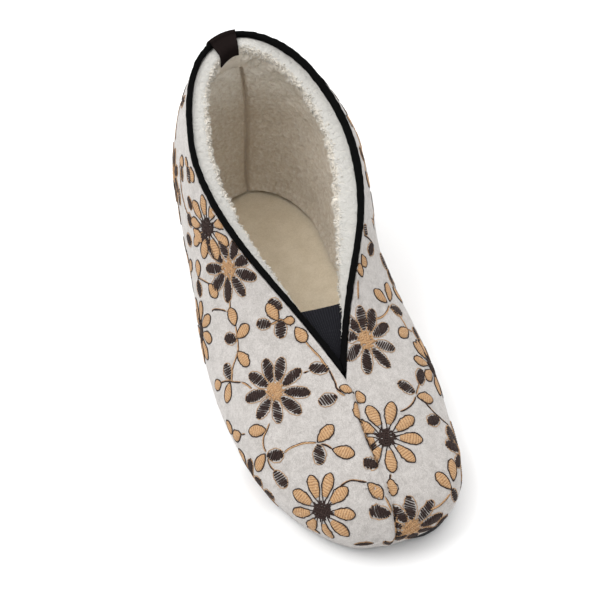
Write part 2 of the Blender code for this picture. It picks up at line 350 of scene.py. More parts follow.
    def inset(self, u: np.ndarray, distance: float) -> np.ndarray:
        """The plan of the belly moved in by a distance."""
        return self.outline(u) - distance * self.outward(u)

    def belly(self, u: np.ndarray) -> np.ndarray:
        """The widest line of the wall."""
        return self.over_sole(self.outline(u), self.belly_height - self.sole_thickness)

    def top(self, u: np.ndarray) -> np.ndarray:
        """The wall's upper edge: the vamp seam near the toe, and the collar behind.

        Args:
            u: Places round the foot.

        Returns:
            Points of the edge.
        """
        u = np.asarray(u, float) % TURN
        on_collar = (u >= THROAT) & (u <= TURN - THROAT)
        collar = self.collar(np.clip(u, THROAT, TURN - THROAT))
        seam = self.seam(np.clip(np.minimum(u, TURN - u), 0, THROAT))
        return np.where(on_collar[..., None], collar, seam)

    def at(self, u: np.ndarray, v: np.ndarray) -> np.ndarray:
        """Points of the surface: smooth curves up the wall, through its four named lines.

        Args:
            u: Places round the foot.
            v: Shares of the way up.

        Returns:
            The points, in the arguments' common shape.
        """
        u, v = np.broadcast_arrays(np.asarray(u, float), np.asarray(v, float))
        foot = self.over_sole(self.inset(u, self.feather_inset), GAP)
        stops = np.stack([foot, self.belly(u), self.shoulder(u), self.top(u)], -2)
        steps = np.linalg.norm(np.diff(stops, axis=-2), axis=-1)
        steps = steps / steps.sum(-1, keepdims=True)
        one, two, three = steps[..., 0], steps[..., 1], steps[..., 2]
        system = np.zeros(u.shape + (4, 4))
        system[..., 0, 0], system[..., 0, 1] = 2, 1
        system[..., 1, 0], system[..., 1, 1], system[..., 1, 2] = two, 2 * (one + two), one
        system[..., 2, 1], system[..., 2, 2], system[..., 2, 3] = three, 2 * (two + three), two
        system[..., 3, 2], system[..., 3, 3] = 1, 2
        pace = np.diff(stops, axis=-2) / steps[..., None]
        rises = np.stack(
            [
                3 * pace[..., 0, :],
                3 * (one[..., None] * pace[..., 1, :] + two[..., None] * pace[..., 0, :]),
                3 * (two[..., None] * pace[..., 2, :] + three[..., None] * pace[..., 1, :]),
                3 * pace[..., 2, :],
            ],
            -2,
        )
        slopes = np.linalg.solve(system, rises)
        knots = np.concatenate([0 * steps[..., :1], np.cumsum(steps, -1)], -1)
        i = (v >= knots[..., 1]).astype(int) + (v >= knots[..., 2])

        def pick(rows: np.ndarray, index: np.ndarray) -> np.ndarray:
            """The row of each place."""
            return np.take_along_axis(rows, index[..., None, None], -2)[..., 0, :]

        step = np.take_along_axis(steps, i[..., None], -1)
        t = (v[..., None] - np.take_along_axis(knots, i[..., None], -1)) / step
        ends, ways = ((pick(rows, i), pick(rows, i + 1)) for rows in (stops, slopes))
        return stretch(t, step, ends, ways)

    def from_seam(self, point: np.ndarray) -> np.ndarray:
        """How far points of the toe lie from its sewn seam, on the medial side above 0.

        Args:
            point: The points.

        Returns:
            The distances.
        """
        rows = np.array(self.sewn_line)
        drop = point[..., 2] + 0.5 * point[..., 1]
        return point[..., 0] - np.interp(drop, rows[::-1, 0], rows[::-1, 1])

    def is_seam(self, u: np.ndarray) -> np.ndarray:
        """Whether the wall ends at the vamp seam here, the throat's own point too."""
        here = np.asarray(u, float) % TURN
        return (here <= THROAT) | (here >= TURN - THROAT)

    def normal(self, u: np.ndarray, v: np.ndarray) -> np.ndarray:
        """The directions out of the felt, taken to one side at the throat's corner.

        Args:
            u: Places round the foot.
            v: Shares of the way up.

        Returns:
            Directions of length one.
        """
        u, v = np.broadcast_arrays(np.asarray(u, float), np.asarray(v, float))
        step = 0.02
        up = self.at(u, np.minimum(1, v + step)) - self.at(u, np.maximum(0, v - step))
        medial = (v == 1) & (u % TURN == THROAT)
        lateral = (v == 1) & (u % TURN == TURN - THROAT)
        back = np.where(medial, u, np.where(lateral, u - 2 * step, u - step))
        return unit(np.cross(self.at(back + 2 * step, v) - self.at(back, v), up))

    def under(self, u: np.ndarray, v: np.ndarray, depth: np.ndarray) -> np.ndarray:
        """Points inside the outside of the felt. Both sides share them along the vamp seam.

        Args:
            u: Places round the foot.
            v: Shares of the way up.
            depth: How deep they lie.

        Returns:
            The points.
        """
        u, v, depth = np.broadcast_arrays(*(np.asarray(x, float) for x in (u, v, depth)))
        near = self.at(u, v) - depth[..., None] * self.normal(u, v)
        far = self.at(-u, v) - depth[..., None] * self.normal(-u, v)
        shared = ((v == 1) & self.is_seam(u))[..., None]
        return np.where(shared, (near + far) / 2, near)

    def by_collar(self, u: np.ndarray, depth: np.ndarray, height: np.ndarray) -> np.ndarray:
        """Points by the collar: a depth in from the felt's outside, a height over its edge."""
        rising = unit(self.at(u, np.ones_like(u)) - self.at(u, np.full_like(u, 0.96)))
        return self.under(u, np.ones_like(u), depth) + np.asarray(height)[..., None] * rising

    def by_ankle(self, u: np.ndarray) -> np.ndarray:
        """1 at the ankle's inner side, where the fleece swells by the binding, and 0 elsewhere."""
        return swell(u, self.ankle_rise, self.ankle_fall)

    def wrap(self, u: np.ndarray) -> np.ndarray:
        """How far the felt wraps the sole's side: all round, but less by the big toe."""
        u = np.asarray(u, float) % TURN
        return 1 - self.bare * swell(u, self.bare_rise, self.bare_fall)

    def fleece(self, u: np.ndarray) -> np.ndarray:
        """Thickness of the fleece by the V: thin at the throat and growing behind it.

        Args:
            u: Places round the foot.

        Returns:
            The thickness in metres.
        """
        u = np.asarray(u, float) % TURN
        share = smooth((np.minimum(u, TURN - u) - THROAT) / 3)
        return self.fleece_throat + (self.fleece_collar - self.fleece_throat) * share


# Shader sums and nodes


class Signal:
    """A shader socket with sums: each operator adds a Math node."""

    def __init__(self, tree: bpy.types.NodeTree, socket: bpy.types.NodeSocket):
        """Wraps an output socket of a tree."""
        self.tree = tree
        self.socket = socket

    def maths(self, operation: str, *terms: Union["Signal", float]) -> "Signal":
        """Adds one Math node.

        Args:
            operation: The node's operation.
            terms: Its inputs in order.

        Returns:
            The node's result.
        """
        node = self.tree.nodes.new("ShaderNodeMath")
        node.operation = operation
        for place, term in zip(node.inputs, terms):
            plug(self.tree, place, term)
        return Signal(self.tree, node.outputs[0])

    def __add__(self, other: Union["Signal", float]) -> "Signal":
        """self + other."""
        return self.maths("ADD", self, other)

    __radd__ = __add__

    def __mul__(self, other: Union["Signal", float]) -> "Signal":
        """self * other."""
        return self.maths("MULTIPLY", self, other)

    __rmul__ = __mul__

    def __sub__(self, other: Union["Signal", float]) -> "Signal":
        """self - other."""
        return self.maths("SUBTRACT", self, other)

    def __rsub__(self, other: float) -> "Signal":
        """other - self."""
        return self.maths("SUBTRACT", other, self)

    def wave(self) -> "Signal":
        """The sine."""
        return self.maths("SINE", self)

    def between(self, low: float, high: float) -> "Signal":
        """A soft step from 0 to 1.

        Args:
            low: Where it starts.
            high: Where it ends.

        Returns:
            The step.
        """
        node = self.tree.nodes.new("ShaderNodeMapRange")
        node.interpolation_type = "SMOOTHSTEP"
        plug(self.tree, node.inputs["Value"], self)
        node.inputs["From Min"].default_value = low
        node.inputs["From Max"].default_value = high
        return Signal(self.tree, node.outputs["Result"])


Plug = Union[Signal, float, tuple]


def plug(tree: bpy.types.NodeTree, place: bpy.types.NodeSocket, term: Plug) -> None:
    """Links a signal to a socket, or sets the socket's own value.

    Args:
        tree: The nodes' tree.
        place: The socket.
        term: The signal or the value.
    """
    if isinstance(term, Signal):
        tree.links.new(term.socket, place)
    elif isinstance(term, tuple) and len(term) == 3 and place.type == "RGBA":
        place.default_value = (*term, 1)
    else:
        place.default_value = term


class Desk:
    """Where a material's nodes are laid out."""

    def __init__(self, made: bpy.types.Material):
        """Opens a material's node tree and its one shader."""
        made.use_nodes = True
        self.tree = made.node_tree
        self.shader = self.tree.nodes["Principled BSDF"]

    def node(self, kind: str, settings: Optional[dict] = None, **inputs: Plug) -> Callable:
        """Adds a node of any type.

        Args:
            kind: The node's type.
            settings: Its properties, set first.
            inputs: Its sockets by name, with underscores for spaces.

        Returns:
            A function from an output's name or number to its signal.
        """
        made = self.tree.nodes.new(kind)
        for key, value in (settings or {}).items():
            setattr(made, key, value)
        for key, term in inputs.items():
            plug(self.tree, made.inputs[key.replace("_", " ")], term)
        return lambda name=0: Signal(self.tree, made.outputs[name])

    def place(self, scale: tuple = (1, 1, 1), turn: tuple = (0, 0, 0), uv: bool = False) -> Signal:
        """Object coordinates or the piece's own UV map, scaled and turned."""
        source = self.node("ShaderNodeTexCoord")("UV" if uv else "Object")
        return self.node("ShaderNodeMapping", None, Vector=source, Scale=scale, Rotation=turn)()

    def speckle(self, where: Signal, scale: float, detail: float = 3, twist: float = 0) -> Signal:
        """Noise from 0 to 1."""
        return self.node(
            "ShaderNodeTexNoise", None, Vector=where, Scale=scale, Detail=detail, Distortion=twist
        )("Fac")

    def blend(self, share: Plug, one: Plug, two: Plug) -> Signal:
        """A colour between two.

        Args:
            share: How far it goes from the first to the second.
            one: The first colour.
            two: The second.

        Returns:
            The colour.
        """
        made = self.tree.nodes.new("ShaderNodeMix")
        made.data_type = "RGBA"
        for place, term in ((0, share), (6, one), (7, two)):
            plug(self.tree, made.inputs[place], term)
        return Signal(self.tree, made.outputs[2])

    def parts(self, where: Signal) -> tuple[Signal, Signal, Signal]:
        """The three numbers of a vector."""
        made = self.node("ShaderNodeSeparateXYZ", None, Vector=where)
        return made("X"), made("Y"), made("Z")

    def relief(self, height: Signal, depth: float, strength: float = 1) -> None:
        """Bumps the shader's surface by a height from 0 to 1, over a depth in metres."""
        bump = self.node("ShaderNodeBump", None, Height=height, Distance=depth, Strength=strength)
        self.set(Normal=bump("Normal"))

    def set(self, **inputs: Plug) -> None:
        """Sets the shader's own sockets by name."""
        for key, term in inputs.items():
            plug(self.tree, self.shader.inputs[key.replace("_", " ")], term)


@dataclass(frozen=True)
class Finish:
    """A material made of nodes."""

    name: str = "finish"

    def material(self) -> bpy.types.Material:
        """Builds the material."""
        made = bpy.data.materials.new(self.name)
        self.dress(Desk(made))
        return made

    def dress(self, desk: Desk) -> None:
        """Lays out the nodes."""
        raise NotImplementedError


@dataclass(frozen=True)
class FeltFinish(Finish):
    """Pressed grey wool: mottled, with stray darker and paler fibres."""

    name: str = "mottled_felt"
    pale: Colour = (0.56, 0.53, 0.505)
    deep: Colour = (0.37, 0.345, 0.325)
    fibre: Colour = (0.17, 0.14, 0.125)

    def dress(self, desk: Desk) -> None:
        """Lays out the nodes."""
        where = desk.place()
        clouds = desk.speckle(where, 240, 3, 0.4)
        fine = desk.speckle(where, 1150, 4, 1.8)
        threads = desk.speckle(desk.place((1, 2.8, 1), (0.4, 0.3, 0.5)), 950, 2, 1.5)
        crossed = desk.speckle(desk.place((2.6, 1, 1), (0.2, 0.7, 0.1)), 900, 2, 1.5)
        shade = (clouds * 0.25 + fine * 0.4 + crossed * 0.35).between(0.36, 0.62)
        colour = desk.blend(shade, self.deep, self.pale)
        colour = desk.blend(threads.between(0.62, 0.76) * 0.5, colour, self.fibre)
        desk.set(Base_Color=colour, Roughness=0.95, Specular_IOR_Level=0.15)
        desk.set(Sheen_Weight=0.2, Sheen_Roughness=0.6)
        desk.relief(fine * 0.4 + threads * 0.3 + crossed * 0.3, 0.0006, 0.8)


@dataclass(frozen=True)
class FleeceFinish(Finish):
    """Curly wool pile, going from one colour to the other by the mesh's share: its tone, and
    painted light and shade.
    """

    name: str = "white_fleece"
    # pale is where the share is 1, deep where it is 0. On the white edge deep is the brighter:
    # painted light on its shaded inner face, pale on its lit crown.
    pale: Colour = (0.60, 0.585, 0.55)
    deep: Colour = (0.88, 0.81, 0.70)
    curl: float = 420

    def dress(self, desk: Desk) -> None:
        """Lays out the nodes."""
        where = desk.place()
        tip = desk.node("ShaderNodeAttribute", {"attribute_name": TONE_AND_SHADE})("Fac")
        curls = desk.speckle(where, self.curl, 2, 0.8)
        fine = desk.speckle(where, 1500, 3, 1.5)
        # tip is the mesh's share, which carries the fleece's painted light and shade; the curl
        # noise varies the tone and, on the beige pile, paints shade between the curls.
        shade = (curls * 0.35 + fine * 0.2 + tip * 0.45).between(0.26, 0.70)
        desk.set(Base_Color=desk.blend(shade, self.deep, self.pale), Roughness=0.95)
        desk.set(Specular_IOR_Level=0.1, Sheen_Weight=0.25, Sheen_Roughness=0.5)
        desk.relief(curls * 0.65 + fine * 0.35, 0.0019, 0.9)


@dataclass(frozen=True)
class ElasticFinish(Finish):
    """Black ribbed elastic, its ribs along the UV map's second way."""

    name: str = "ribbed_elastic"
    pale: Colour = (0.016, 0.016, 0.021)
    deep: Colour = (0.004, 0.004, 0.006)
    ribs: float = 5200

    def dress(self, desk: Desk) -> None:
        """Lays out the nodes."""
        across, along, _ = desk.parts(desk.place(uv=True))
        rib = (across * self.ribs).wave() * 0.5 + 0.5
        knit = (along * 9000).wave() * 0.5 + 0.5
        lint = desk.speckle(desk.place(), 700, 4, 1).between(0.62, 0.78)
        colour = desk.blend(rib * 0.7 + knit * 0.3, self.deep, self.pale)
        desk.set(Base_Color=desk.blend(lint * 0.2, colour, (0.08, 0.08, 0.09)), Roughness=0.8)
        desk.set(Specular_IOR_Level=0.15)
        desk.relief(rib * 0.8 + knit * 0.2, 0.0004, 0.8)


@dataclass(frozen=True)
class TapeFinish(Finish):
    """Black woven cloth tape or webbing."""

    name: str = "black_tape"
    pale: Colour = (0.0045, 0.0045, 0.0045)
    deep: Colour = (0.0015, 0.0015, 0.0015)
    weave: float = 7000
    lint: float = 0.07

    def dress(self, desk: Desk) -> None:
        """Lays out the nodes."""
        across, along, _ = desk.parts(desk.place(uv=True))
        twill = ((across + along) * self.weave).wave() * ((across - along) * self.weave).wave()
        fluff = desk.speckle(desk.place(), 1500, 4, 2)
        colour = desk.blend((twill * 0.5 + 0.5) * 0.6 + fluff * 0.4, self.deep, self.pale)
        speck = fluff.between(0.66, 0.76) * self.lint
        desk.set(Base_Color=desk.blend(speck, colour, (0.16, 0.155, 0.15)), Roughness=0.92)
        desk.set(Specular_IOR_Level=0.05)
        desk.relief(twill * 0.3 + fluff * 0.7, 0.0004, 0.9)


@dataclass(frozen=True)
class ThreadFinish(Finish):
    """Satin stitches of twisted thread, their lines along the UV map's second way."""

    pale: Colour = (0.52, 0.315, 0.16)
    deep: Colour = (0.27, 0.135, 0.06)
    fleck: Colour = (0.66, 0.49, 0.32)
    gloss: float = 0.6

    @staticmethod
    def of(thread: Thread) -> "ThreadFinish":
        """The finish of one of the two threads."""
        if thread is Thread.TAN:
            return ThreadFinish("tan_thread")
        pale, deep, fleck = (0.036, 0.019, 0.015), (0.013, 0.007, 0.006), (0.085, 0.055, 0.045)
        return ThreadFinish("dark_thread", pale, deep, fleck)

    def dress(self, desk: Desk) -> None:
        """Lays out the nodes."""
        across, along, _ = desk.parts(desk.place(uv=True))
        grain = desk.speckle(desk.place(), 1700, 3, 1.0)
        lines = ((across + along * 0.25 + grain * 0.0012) * 6200).wave() * 0.5 + 0.5
        colour = desk.blend((lines * 0.5 + grain * 0.5).between(0.15, 0.62), self.deep, self.pale)
        clouds = desk.speckle(desk.place((1, 2.2, 1), (0.3, 0, 0.6)), 900, 2, 1)
        colour = desk.blend(clouds.between(0.55, 0.70) * 0.6, colour, self.fleck)
        desk.set(Base_Color=colour, Roughness=lines * 0.12 + (self.gloss - 0.06))
        desk.set(Specular_IOR_Level=0.2)
        desk.relief(lines * 0.7 + grain * 0.3, 0.0003, 0.7)


@dataclass(frozen=True)
class InsoleFinish(Finish):
    """Beige needled felt of the insole."""

    name: str = "beige_insole_felt"
    pale: Colour = (0.90, 0.80, 0.64)
    deep: Colour = (0.74, 0.64, 0.48)

    def dress(self, desk: Desk) -> None:
        """Lays out the nodes."""
        where = desk.place()
        fine = desk.speckle(where, 1100, 4, 1.5)
        clouds = desk.speckle(where, 120, 3)
        colour = desk.blend((fine * 0.6 + clouds * 0.4).between(0.3, 0.7), self.deep, self.pale)
        desk.set(Base_Color=colour, Roughness=0.95, Specular_IOR_Level=0.2, Sheen_Weight=0.2)
        desk.relief(fine, 0.0004, 0.6)


@dataclass(frozen=True)
class RubberFinish(Finish):
    """Matt black rubber with a fine moulded grip underneath."""

    name: str = "black_rubber"
    pale: Colour = (0.014, 0.014, 0.015)
    deep: Colour = (0.005, 0.005, 0.006)

    def dress(self, desk: Desk) -> None:
        """Lays out the nodes."""
        across, along, _ = desk.parts(desk.place())
        grip = ((across + along) * 1500).wave() * ((across - along) * 1500).wave()
        grain = desk.speckle(desk.place(), 1500, 3)
        desk.set(Base_Color=desk.blend(grain, self.deep, self.pale))
        desk.set(Roughness=grain * 0.2 + 0.55, Specular_IOR_Level=0.2)
        desk.relief(grip * 0.35 + 0.5 + grain * 0.15, 0.0008, 0.6)


@dataclass(frozen=True)
class FloorFinish(Finish):
    """Plain pale studio floor."""

    name: str = "pale_floor"
    tone: float = 0.95

    def dress(self, desk: Desk) -> None:
        """Lays out the nodes."""
        haze = desk.speckle(desk.place(), 3, 2) * 0.01 + (self.tone - 0.005)
        colour = desk.node("ShaderNodeCombineColor", None, Red=haze, Green=haze, Blue=haze)()
        desk.set(Base_Color=colour, Roughness=0.9, Specular_IOR_Level=0.1)


# Meshes


def laid(
    table: np.ndarray,
    size: tuple[float, float] = (1, 1),
    onto: Optional[bmesh.types.BMesh] = None,
    inward: bool = False,
    strips: int = 1,
    tone_and_shade: Optional[np.ndarray] = None,
) -> bmesh.types.BMesh:
    """A grid of faces laid over a table of points.

    Args:
        table: Points by column and row, three numbers each.
        size: How far the UV map runs along the columns and the rows.
        onto: A mesh to add the grid to, instead of a new one.
        inward: Whether the faces look the other way.
        strips: How many separate grids of one size follow each other in the table.
        tone_and_shade: A share from 0 to 1 for each point, kept for the finish to read.

    Returns:
        The mesh, with one UV map. Its faces look the way of column step cross row step.
    """
    columns, rows = table.shape[0] - 1, table.shape[1] - 1
    each = (columns + 1) // strips
    mesh = onto or bmesh.new()
    layer = mesh.loops.layers.uv.get("cloth") or mesh.loops.layers.uv.new("cloth")
    paint = None
    if tone_and_shade is not None:
        paint = mesh.verts.layers.float.get(TONE_AND_SHADE) or mesh.verts.layers.float.new(TONE_AND_SHADE)
    made = bmesh.ops.create_grid(mesh, x_segments=columns, y_segments=rows, size=0.5)["verts"]
    faces = {face for vert in made for face in vert.link_faces}
    spare = []
    for face in faces:
        first = min(round((vert.co.x + 0.5) * columns) for vert in face.verts)
        if (first + 1) % each == 0:
            spare.append(face)
            continue
        start = first - first % each
        for loop in face.loops:
            column = round((loop.vert.co.x + 0.5) * columns) - start
            across = column / (each - 1) * size[0]
            loop[layer].uv = (across, (loop.vert.co.y + 0.5) * size[1])
    for vert in made:
        i = round((vert.co.x + 0.5) * columns)
        j = round((vert.co.y + 0.5) * rows)
        vert.co = table[i, j]
        if paint:
            vert[paint] = tone_and_shade[i, j]
    if spare:
        bmesh.ops.delete(mesh, geom=spare, context="FACES")
    if inward:
        bmesh.ops.reverse_faces(mesh, faces=list(faces))
    return mesh


def bridged(mesh: bmesh.types.BMesh, low: bool) -> None:
    """Joins two skins along their lower or their upper edge.

    Args:
        mesh: Both skins, each already welded.
        low: Whether it is the lower of each skin's two open edges.
    """
    rims = [edge for edge in mesh.edges if edge.is_boundary]
    loops: list[set] = []
    while rims:
        group, reach = set(), [rims[0]]
        while reach:
            edge = reach.pop()
            if edge in group:
                continue
            group.add(edge)
            beside = (near for vert in edge.verts for near in vert.link_edges)
            reach += [near for near in beside if near.is_boundary and near not in group]
        loops.append(group)
        rims = [edge for edge in rims if edge not in group]
    loops.sort(key=lambda group: max(v.co.z for e in group for v in e.verts))
    pair = loops[:2] if low else loops[-2:]
    bmesh.ops.bridge_loops(mesh, edges=list(pair[0] | pair[1]))


def welded(mesh: bmesh.types.BMesh, cap: bool = False) -> bmesh.types.BMesh:
    """Joins a mesh's meeting points.

    Args:
        mesh: The mesh.
        cap: Whether its open ends are filled; its points may then be closer to each other.

    Returns:
        The same mesh.
    """
    bmesh.ops.remove_doubles(mesh, verts=mesh.verts, dist=FINE_WELD if cap else WELD)
    if cap:
        rim = [edge for edge in mesh.edges if edge.is_boundary]
        bmesh.ops.holes_fill(mesh, edges=rim, sides=0)
    return mesh


def closed(mesh: bmesh.types.BMesh) -> bmesh.types.BMesh:
    """The mesh with all its faces looking out."""
    bmesh.ops.recalc_face_normals(mesh, faces=mesh.faces)
    return mesh


def ripple(points: np.ndarray, scale: float, seed: float = 0, octaves: int = 2) -> np.ndarray:
    """Smooth noise of about -1 to 1 at each point.

    Args:
        points: Points of any shape with three numbers last.
        scale: Bumps to the metre.
        seed: Moves the noise, so that two uses differ.
        octaves: Layers of finer bumps.

    Returns:
        The noise, in the points' shape.
    """
    flat = points.reshape(-1, 3) * scale + seed
    values = [noise.fractal(Vector(point), 0.9, 2.1, octaves) for point in flat]
    return np.array(values).reshape(points.shape[:-1])


def normals_of(table: np.ndarray) -> np.ndarray:
    """The outward direction at each point of a table."""
    across, up = np.gradient(table, axis=0), np.gradient(table, axis=1)
    return unit(np.cross(across, up) + 1e-12)


def piece(
    name: str,
    mesh: bmesh.types.BMesh,
    finish: Finish,
    node: Optional[str] = None,
) -> bpy.types.Object:
    """Makes an object of a mesh, dresses it, and lets it ride on the slipper.

    Args:
        name: The piece's name.
        mesh: Its shape, used up here.
        finish: Its material.
        node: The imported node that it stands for, if any.

    Returns:
        The object.
    """
    data = bpy.data.meshes.new(name)
    mesh.to_mesh(data)
    mesh.free()
    data.shade_smooth()
    data.materials.append(finish.material())
    made = bpy.data.objects.new(name, data)
    bpy.context.scene.collection.objects.link(made)
    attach(made, BODY)
    if node:
        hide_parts(node)
    LOG.info("%s: %d faces", name, len(data.polygons))
    return made


# The slipper's pieces


@dataclass(frozen=True)
class Fold:
    """A soft trough or ridge of the felt between two places: a depth below 0 is a trough."""

    start: tuple[float, float]
    end: tuple[float, float]
    width: float
    depth: float


@dataclass
class FeltUpper:
    """The felt wall, one skin with its thickness, with its seams and creases."""

    last: Last
    columns: int = 480
    rows: int = 116
    inner_rows: int = 20
    map_size: Row = (0.66, 0.12)
    # the toe's seam: its groove, and the felt that swells on both sides of it
    seam_groove: float = 0.0012
    seam_width: float = 0.0012
    seam_shoulder: float = 0.0008
    shoulder_width: float = 0.0024
    lateral_shoulder: float = -0.0030
    medial_shoulder: float = 0.0034
    lateral_reach: float = 0.012
    faint: float = 0.35
    seam_end: float = 0.004
    # the heel's seam: its groove, and the bead beside it
    heel_pace: float = 0.030
    heel_groove: float = 0.0010
    heel_groove_width: float = 0.0011
    heel_bead: float = 0.0005
    heel_bead_off: float = 0.003
    heel_bead_width: float = 0.002
    # the lip over the sole's side, the pucker under the binding, and the felt's own bumps
    lip: float = 0.0028
    lip_share: float = 0.09
    pucker: float = 0.00035
    pucker_scale: float = 140
    pucker_drop: float = 0.004
    bump: float = 0.00012
    bump_scale: float = 600
    folds: tuple[Fold, ...] = (
        Fold((6.55, 0.98), (5.9, 0.45), 0.0060, -0.0012),
        Fold((6.25, 0.95), (5.7, 0.50), 0.0050, 0.0007),
        Fold((7.1, 0.35), (6.0, 0.30), 0.0080, -0.0010),
        Fold((13.6, 0.93), (14.6, 0.62), 0.0060, -0.0008),
        Fold((14.2, 0.97), (15.1, 0.70), 0.0050, 0.0006),
        Fold((12.9, 0.40), (14.2, 0.35), 0.0085, -0.0010),
        Fold((9.2, 0.25), (10.9, 0.22), 0.0070, -0.0007),
        Fold((1.4, 0.30), (3.4, 0.26), 0.0080, 0.0005),
        Fold((16.8, 0.30), (18.6, 0.28), 0.0080, 0.0005),
    )
    surface: Optional[BVHTree] = None

    def shares(self, rows: int) -> tuple[np.ndarray, np.ndarray]:
        """Places of a grid's points, closer by the seams and by the top."""
        t = np.linspace(0, 1, rows + 1)
        return np.meshgrid(closer(self.columns), t + 0.35 * t * (1 - t), indexing="ij")

    def relief(self, u: np.ndarray, v: np.ndarray, table: np.ndarray) -> np.ndarray:
        """How far the felt stands out from the last at each place.

        Args:
            u: Places round the foot.
            v: Shares of the way up.
            table: The last's points there.

        Returns:
            Heights in metres.
        """
        here = np.minimum(u, TURN - u)
        off = self.last.from_seam(table)
        before_v = (self.last.tip[1] + self.seam_end - table[..., 1]) / (2 * self.seam_end)
        groove = -self.seam_groove * bell(off, self.seam_width)
        lateral = bell(off - self.lateral_shoulder, self.shoulder_width)
        lateral += self.faint * smooth(1 + off / self.lateral_reach) * (off < 0)
        medial = self.faint * bell(off - self.medial_shoulder, self.shoulder_width)
        height = smooth(before_v) * (here < THROAT + 1)
        height = height * (groove + self.seam_shoulder * (lateral + medial))
        back = np.abs(u - HEEL) * self.heel_pace
        seamed = smooth((v - 0.02) / 0.1) * smooth((1.02 - v) / 0.1)
        bead = self.heel_bead * bell(back - self.heel_bead_off, self.heel_bead_width)
        height += seamed * (bead - self.heel_groove * bell(back, self.heel_groove_width))
        for fold in self.folds:
            height += self.pressed(fold, table)
        down = np.linalg.norm(table - self.last.top(u), axis=-1)
        by_edge = bell(down - self.pucker_drop, self.pucker_drop) * (here > THROAT)
        height += self.pucker * ripple(table, self.pucker_scale, 3.1) * (0.4 + 1.6 * by_edge)
        height += self.bump * ripple(table, self.bump_scale, 9.7)
        return height * smooth(v / 0.04)

    def pressed(self, fold: Fold, table: np.ndarray) -> np.ndarray:
        """One fold's height, fading across its width and at its ends.

        Args:
            fold: The fold.
            table: The last's points.

        Returns:
            Heights in metres.
        """
        one, two = self.last.at(*np.array([fold.start, fold.end]).T)
        way = two - one
        along = ((table - one) @ way) / (way @ way)
        nearest = one + np.clip(along, 0, 1)[..., None] * way
        fade = smooth(np.minimum(along, 1 - along) / 0.3 + 0.6)
        return fold.depth * bell(np.linalg.norm(table - nearest, axis=-1), fold.width) * fade

    def lipped(self, u: np.ndarray, v: np.ndarray, table: np.ndarray) -> np.ndarray:
        """Draws the wall's lowest strip down over the sole's side, and closes the round.

        Args:
            u: Places round the foot.
            v: Shares of the way up.
            table: The points there.

        Returns:
            The points, moved.
        """
        table[..., 2] -= self.lip * self.last.wrap(u) * (1 - smooth(v / self.lip_share))
        table[-1] = table[0]
        return table

    def skin(self) -> bmesh.types.BMesh:
        """The outside of the felt as one welded sheet.

        Returns:
            The sheet.
        """
        u, v = self.shares(self.rows)
        table = self.last.at(u, v)
        out = self.last.normal(u, v)
        shared = ((v == 1) & self.last.is_seam(u))[..., None]
        out = np.where(shared, unit(out + self.last.normal(-u, v)), out)
        table = table + self.relief(u, v, table)[..., None] * out
        return welded(laid(self.lipped(u, v, table), self.map_size))

    def build(self) -> bpy.types.Object:
        """Makes the wall of the felt's thickness.

        Returns:
            The wall.
        """
        mesh = self.skin()
        self.surface = BVHTree.FromBMesh(mesh)
        u, v = self.shares(self.inner_rows)
        table = self.last.under(u, v, self.last.felt)
        table[:, 0] = self.last.over_sole(table[:, 0], GAP)
        welded(laid(self.lipped(u, v, table), self.map_size, onto=mesh, inward=True))
        bridged(mesh, low=True)
        bridged(mesh, low=False)
        return piece("felt_upper", mesh, FeltFinish(), "upper")


@dataclass
class CollarBinding:
    """The black tape folded over the felt's edge."""

    last: Last
    start: float = 4.12
    height: float = 0.0030
    turned_in: float = 0.7
    lump: float = 0.00028
    lump_scale: float = 300
    columns: int = 420
    around: int = 16
    map_size: Row = (0.45, 0.011)

    def squarer(self, share: float) -> float:
        """A share of a round section, pushed out towards a square one."""
        return np.sign(share) * abs(share) ** 0.7

    def build(self) -> bpy.types.Object:
        """Makes the tape, from one side of the V round the heel to the other.

        Returns:
            The tape.
        """
        last = self.last
        u = np.linspace(self.start, TURN - self.start, self.columns + 1)
        middle, half = last.felt / 2, last.felt / 2 + last.overhang
        wide = 1 + self.turned_in * last.by_ankle(u)
        rows = []
        for angle in np.linspace(0, 2 * pi, self.around + 1):
            side = self.squarer(cos(angle))
            depth = middle - half * side * (wide if side < 0 else 1)
            rise = GAP + self.height * (0.5 + 0.5 * self.squarer(sin(angle)))
            rows.append(last.by_collar(u, depth + 0 * u, np.full_like(u, rise)))
        table = self.kept_apart(u, np.stack(rows, 1))
        table[:, -1] = table[:, 0]
        lumps = self.lump * ripple(table, self.lump_scale, 5.5, 3)
        table = table + lumps[..., None] * normals_of(table)
        table[:, -1] = table[:, 0]
        mesh = closed(welded(laid(table, self.map_size), cap=True))
        return piece("binding_tape", mesh, TapeFinish(), "collar_binding")

    def kept_apart(self, u: np.ndarray, table: np.ndarray) -> np.ndarray:
        """Holds the tape's points to their own side of the middle of the V.

        Args:
            u: Places round the foot.
            table: The points there.

        Returns:
            The points, moved where they have to be.
        """
        tip = self.last.tip
        ahead = self.last.top(np.array([THROAT + 1, TURN - THROAT - 1])).mean(0)
        axis = unit(np.array([ahead[0] - tip[0], ahead[1] - tip[1], 0]))
        medial = np.array([axis[1], -axis[0], 0])
        side = np.where(u < HEEL, 1, -1)[:, None]
        short = np.maximum(0, GAP / 2 - side * ((table - tip) @ medial))
        return table + (short * side)[..., None] * medial


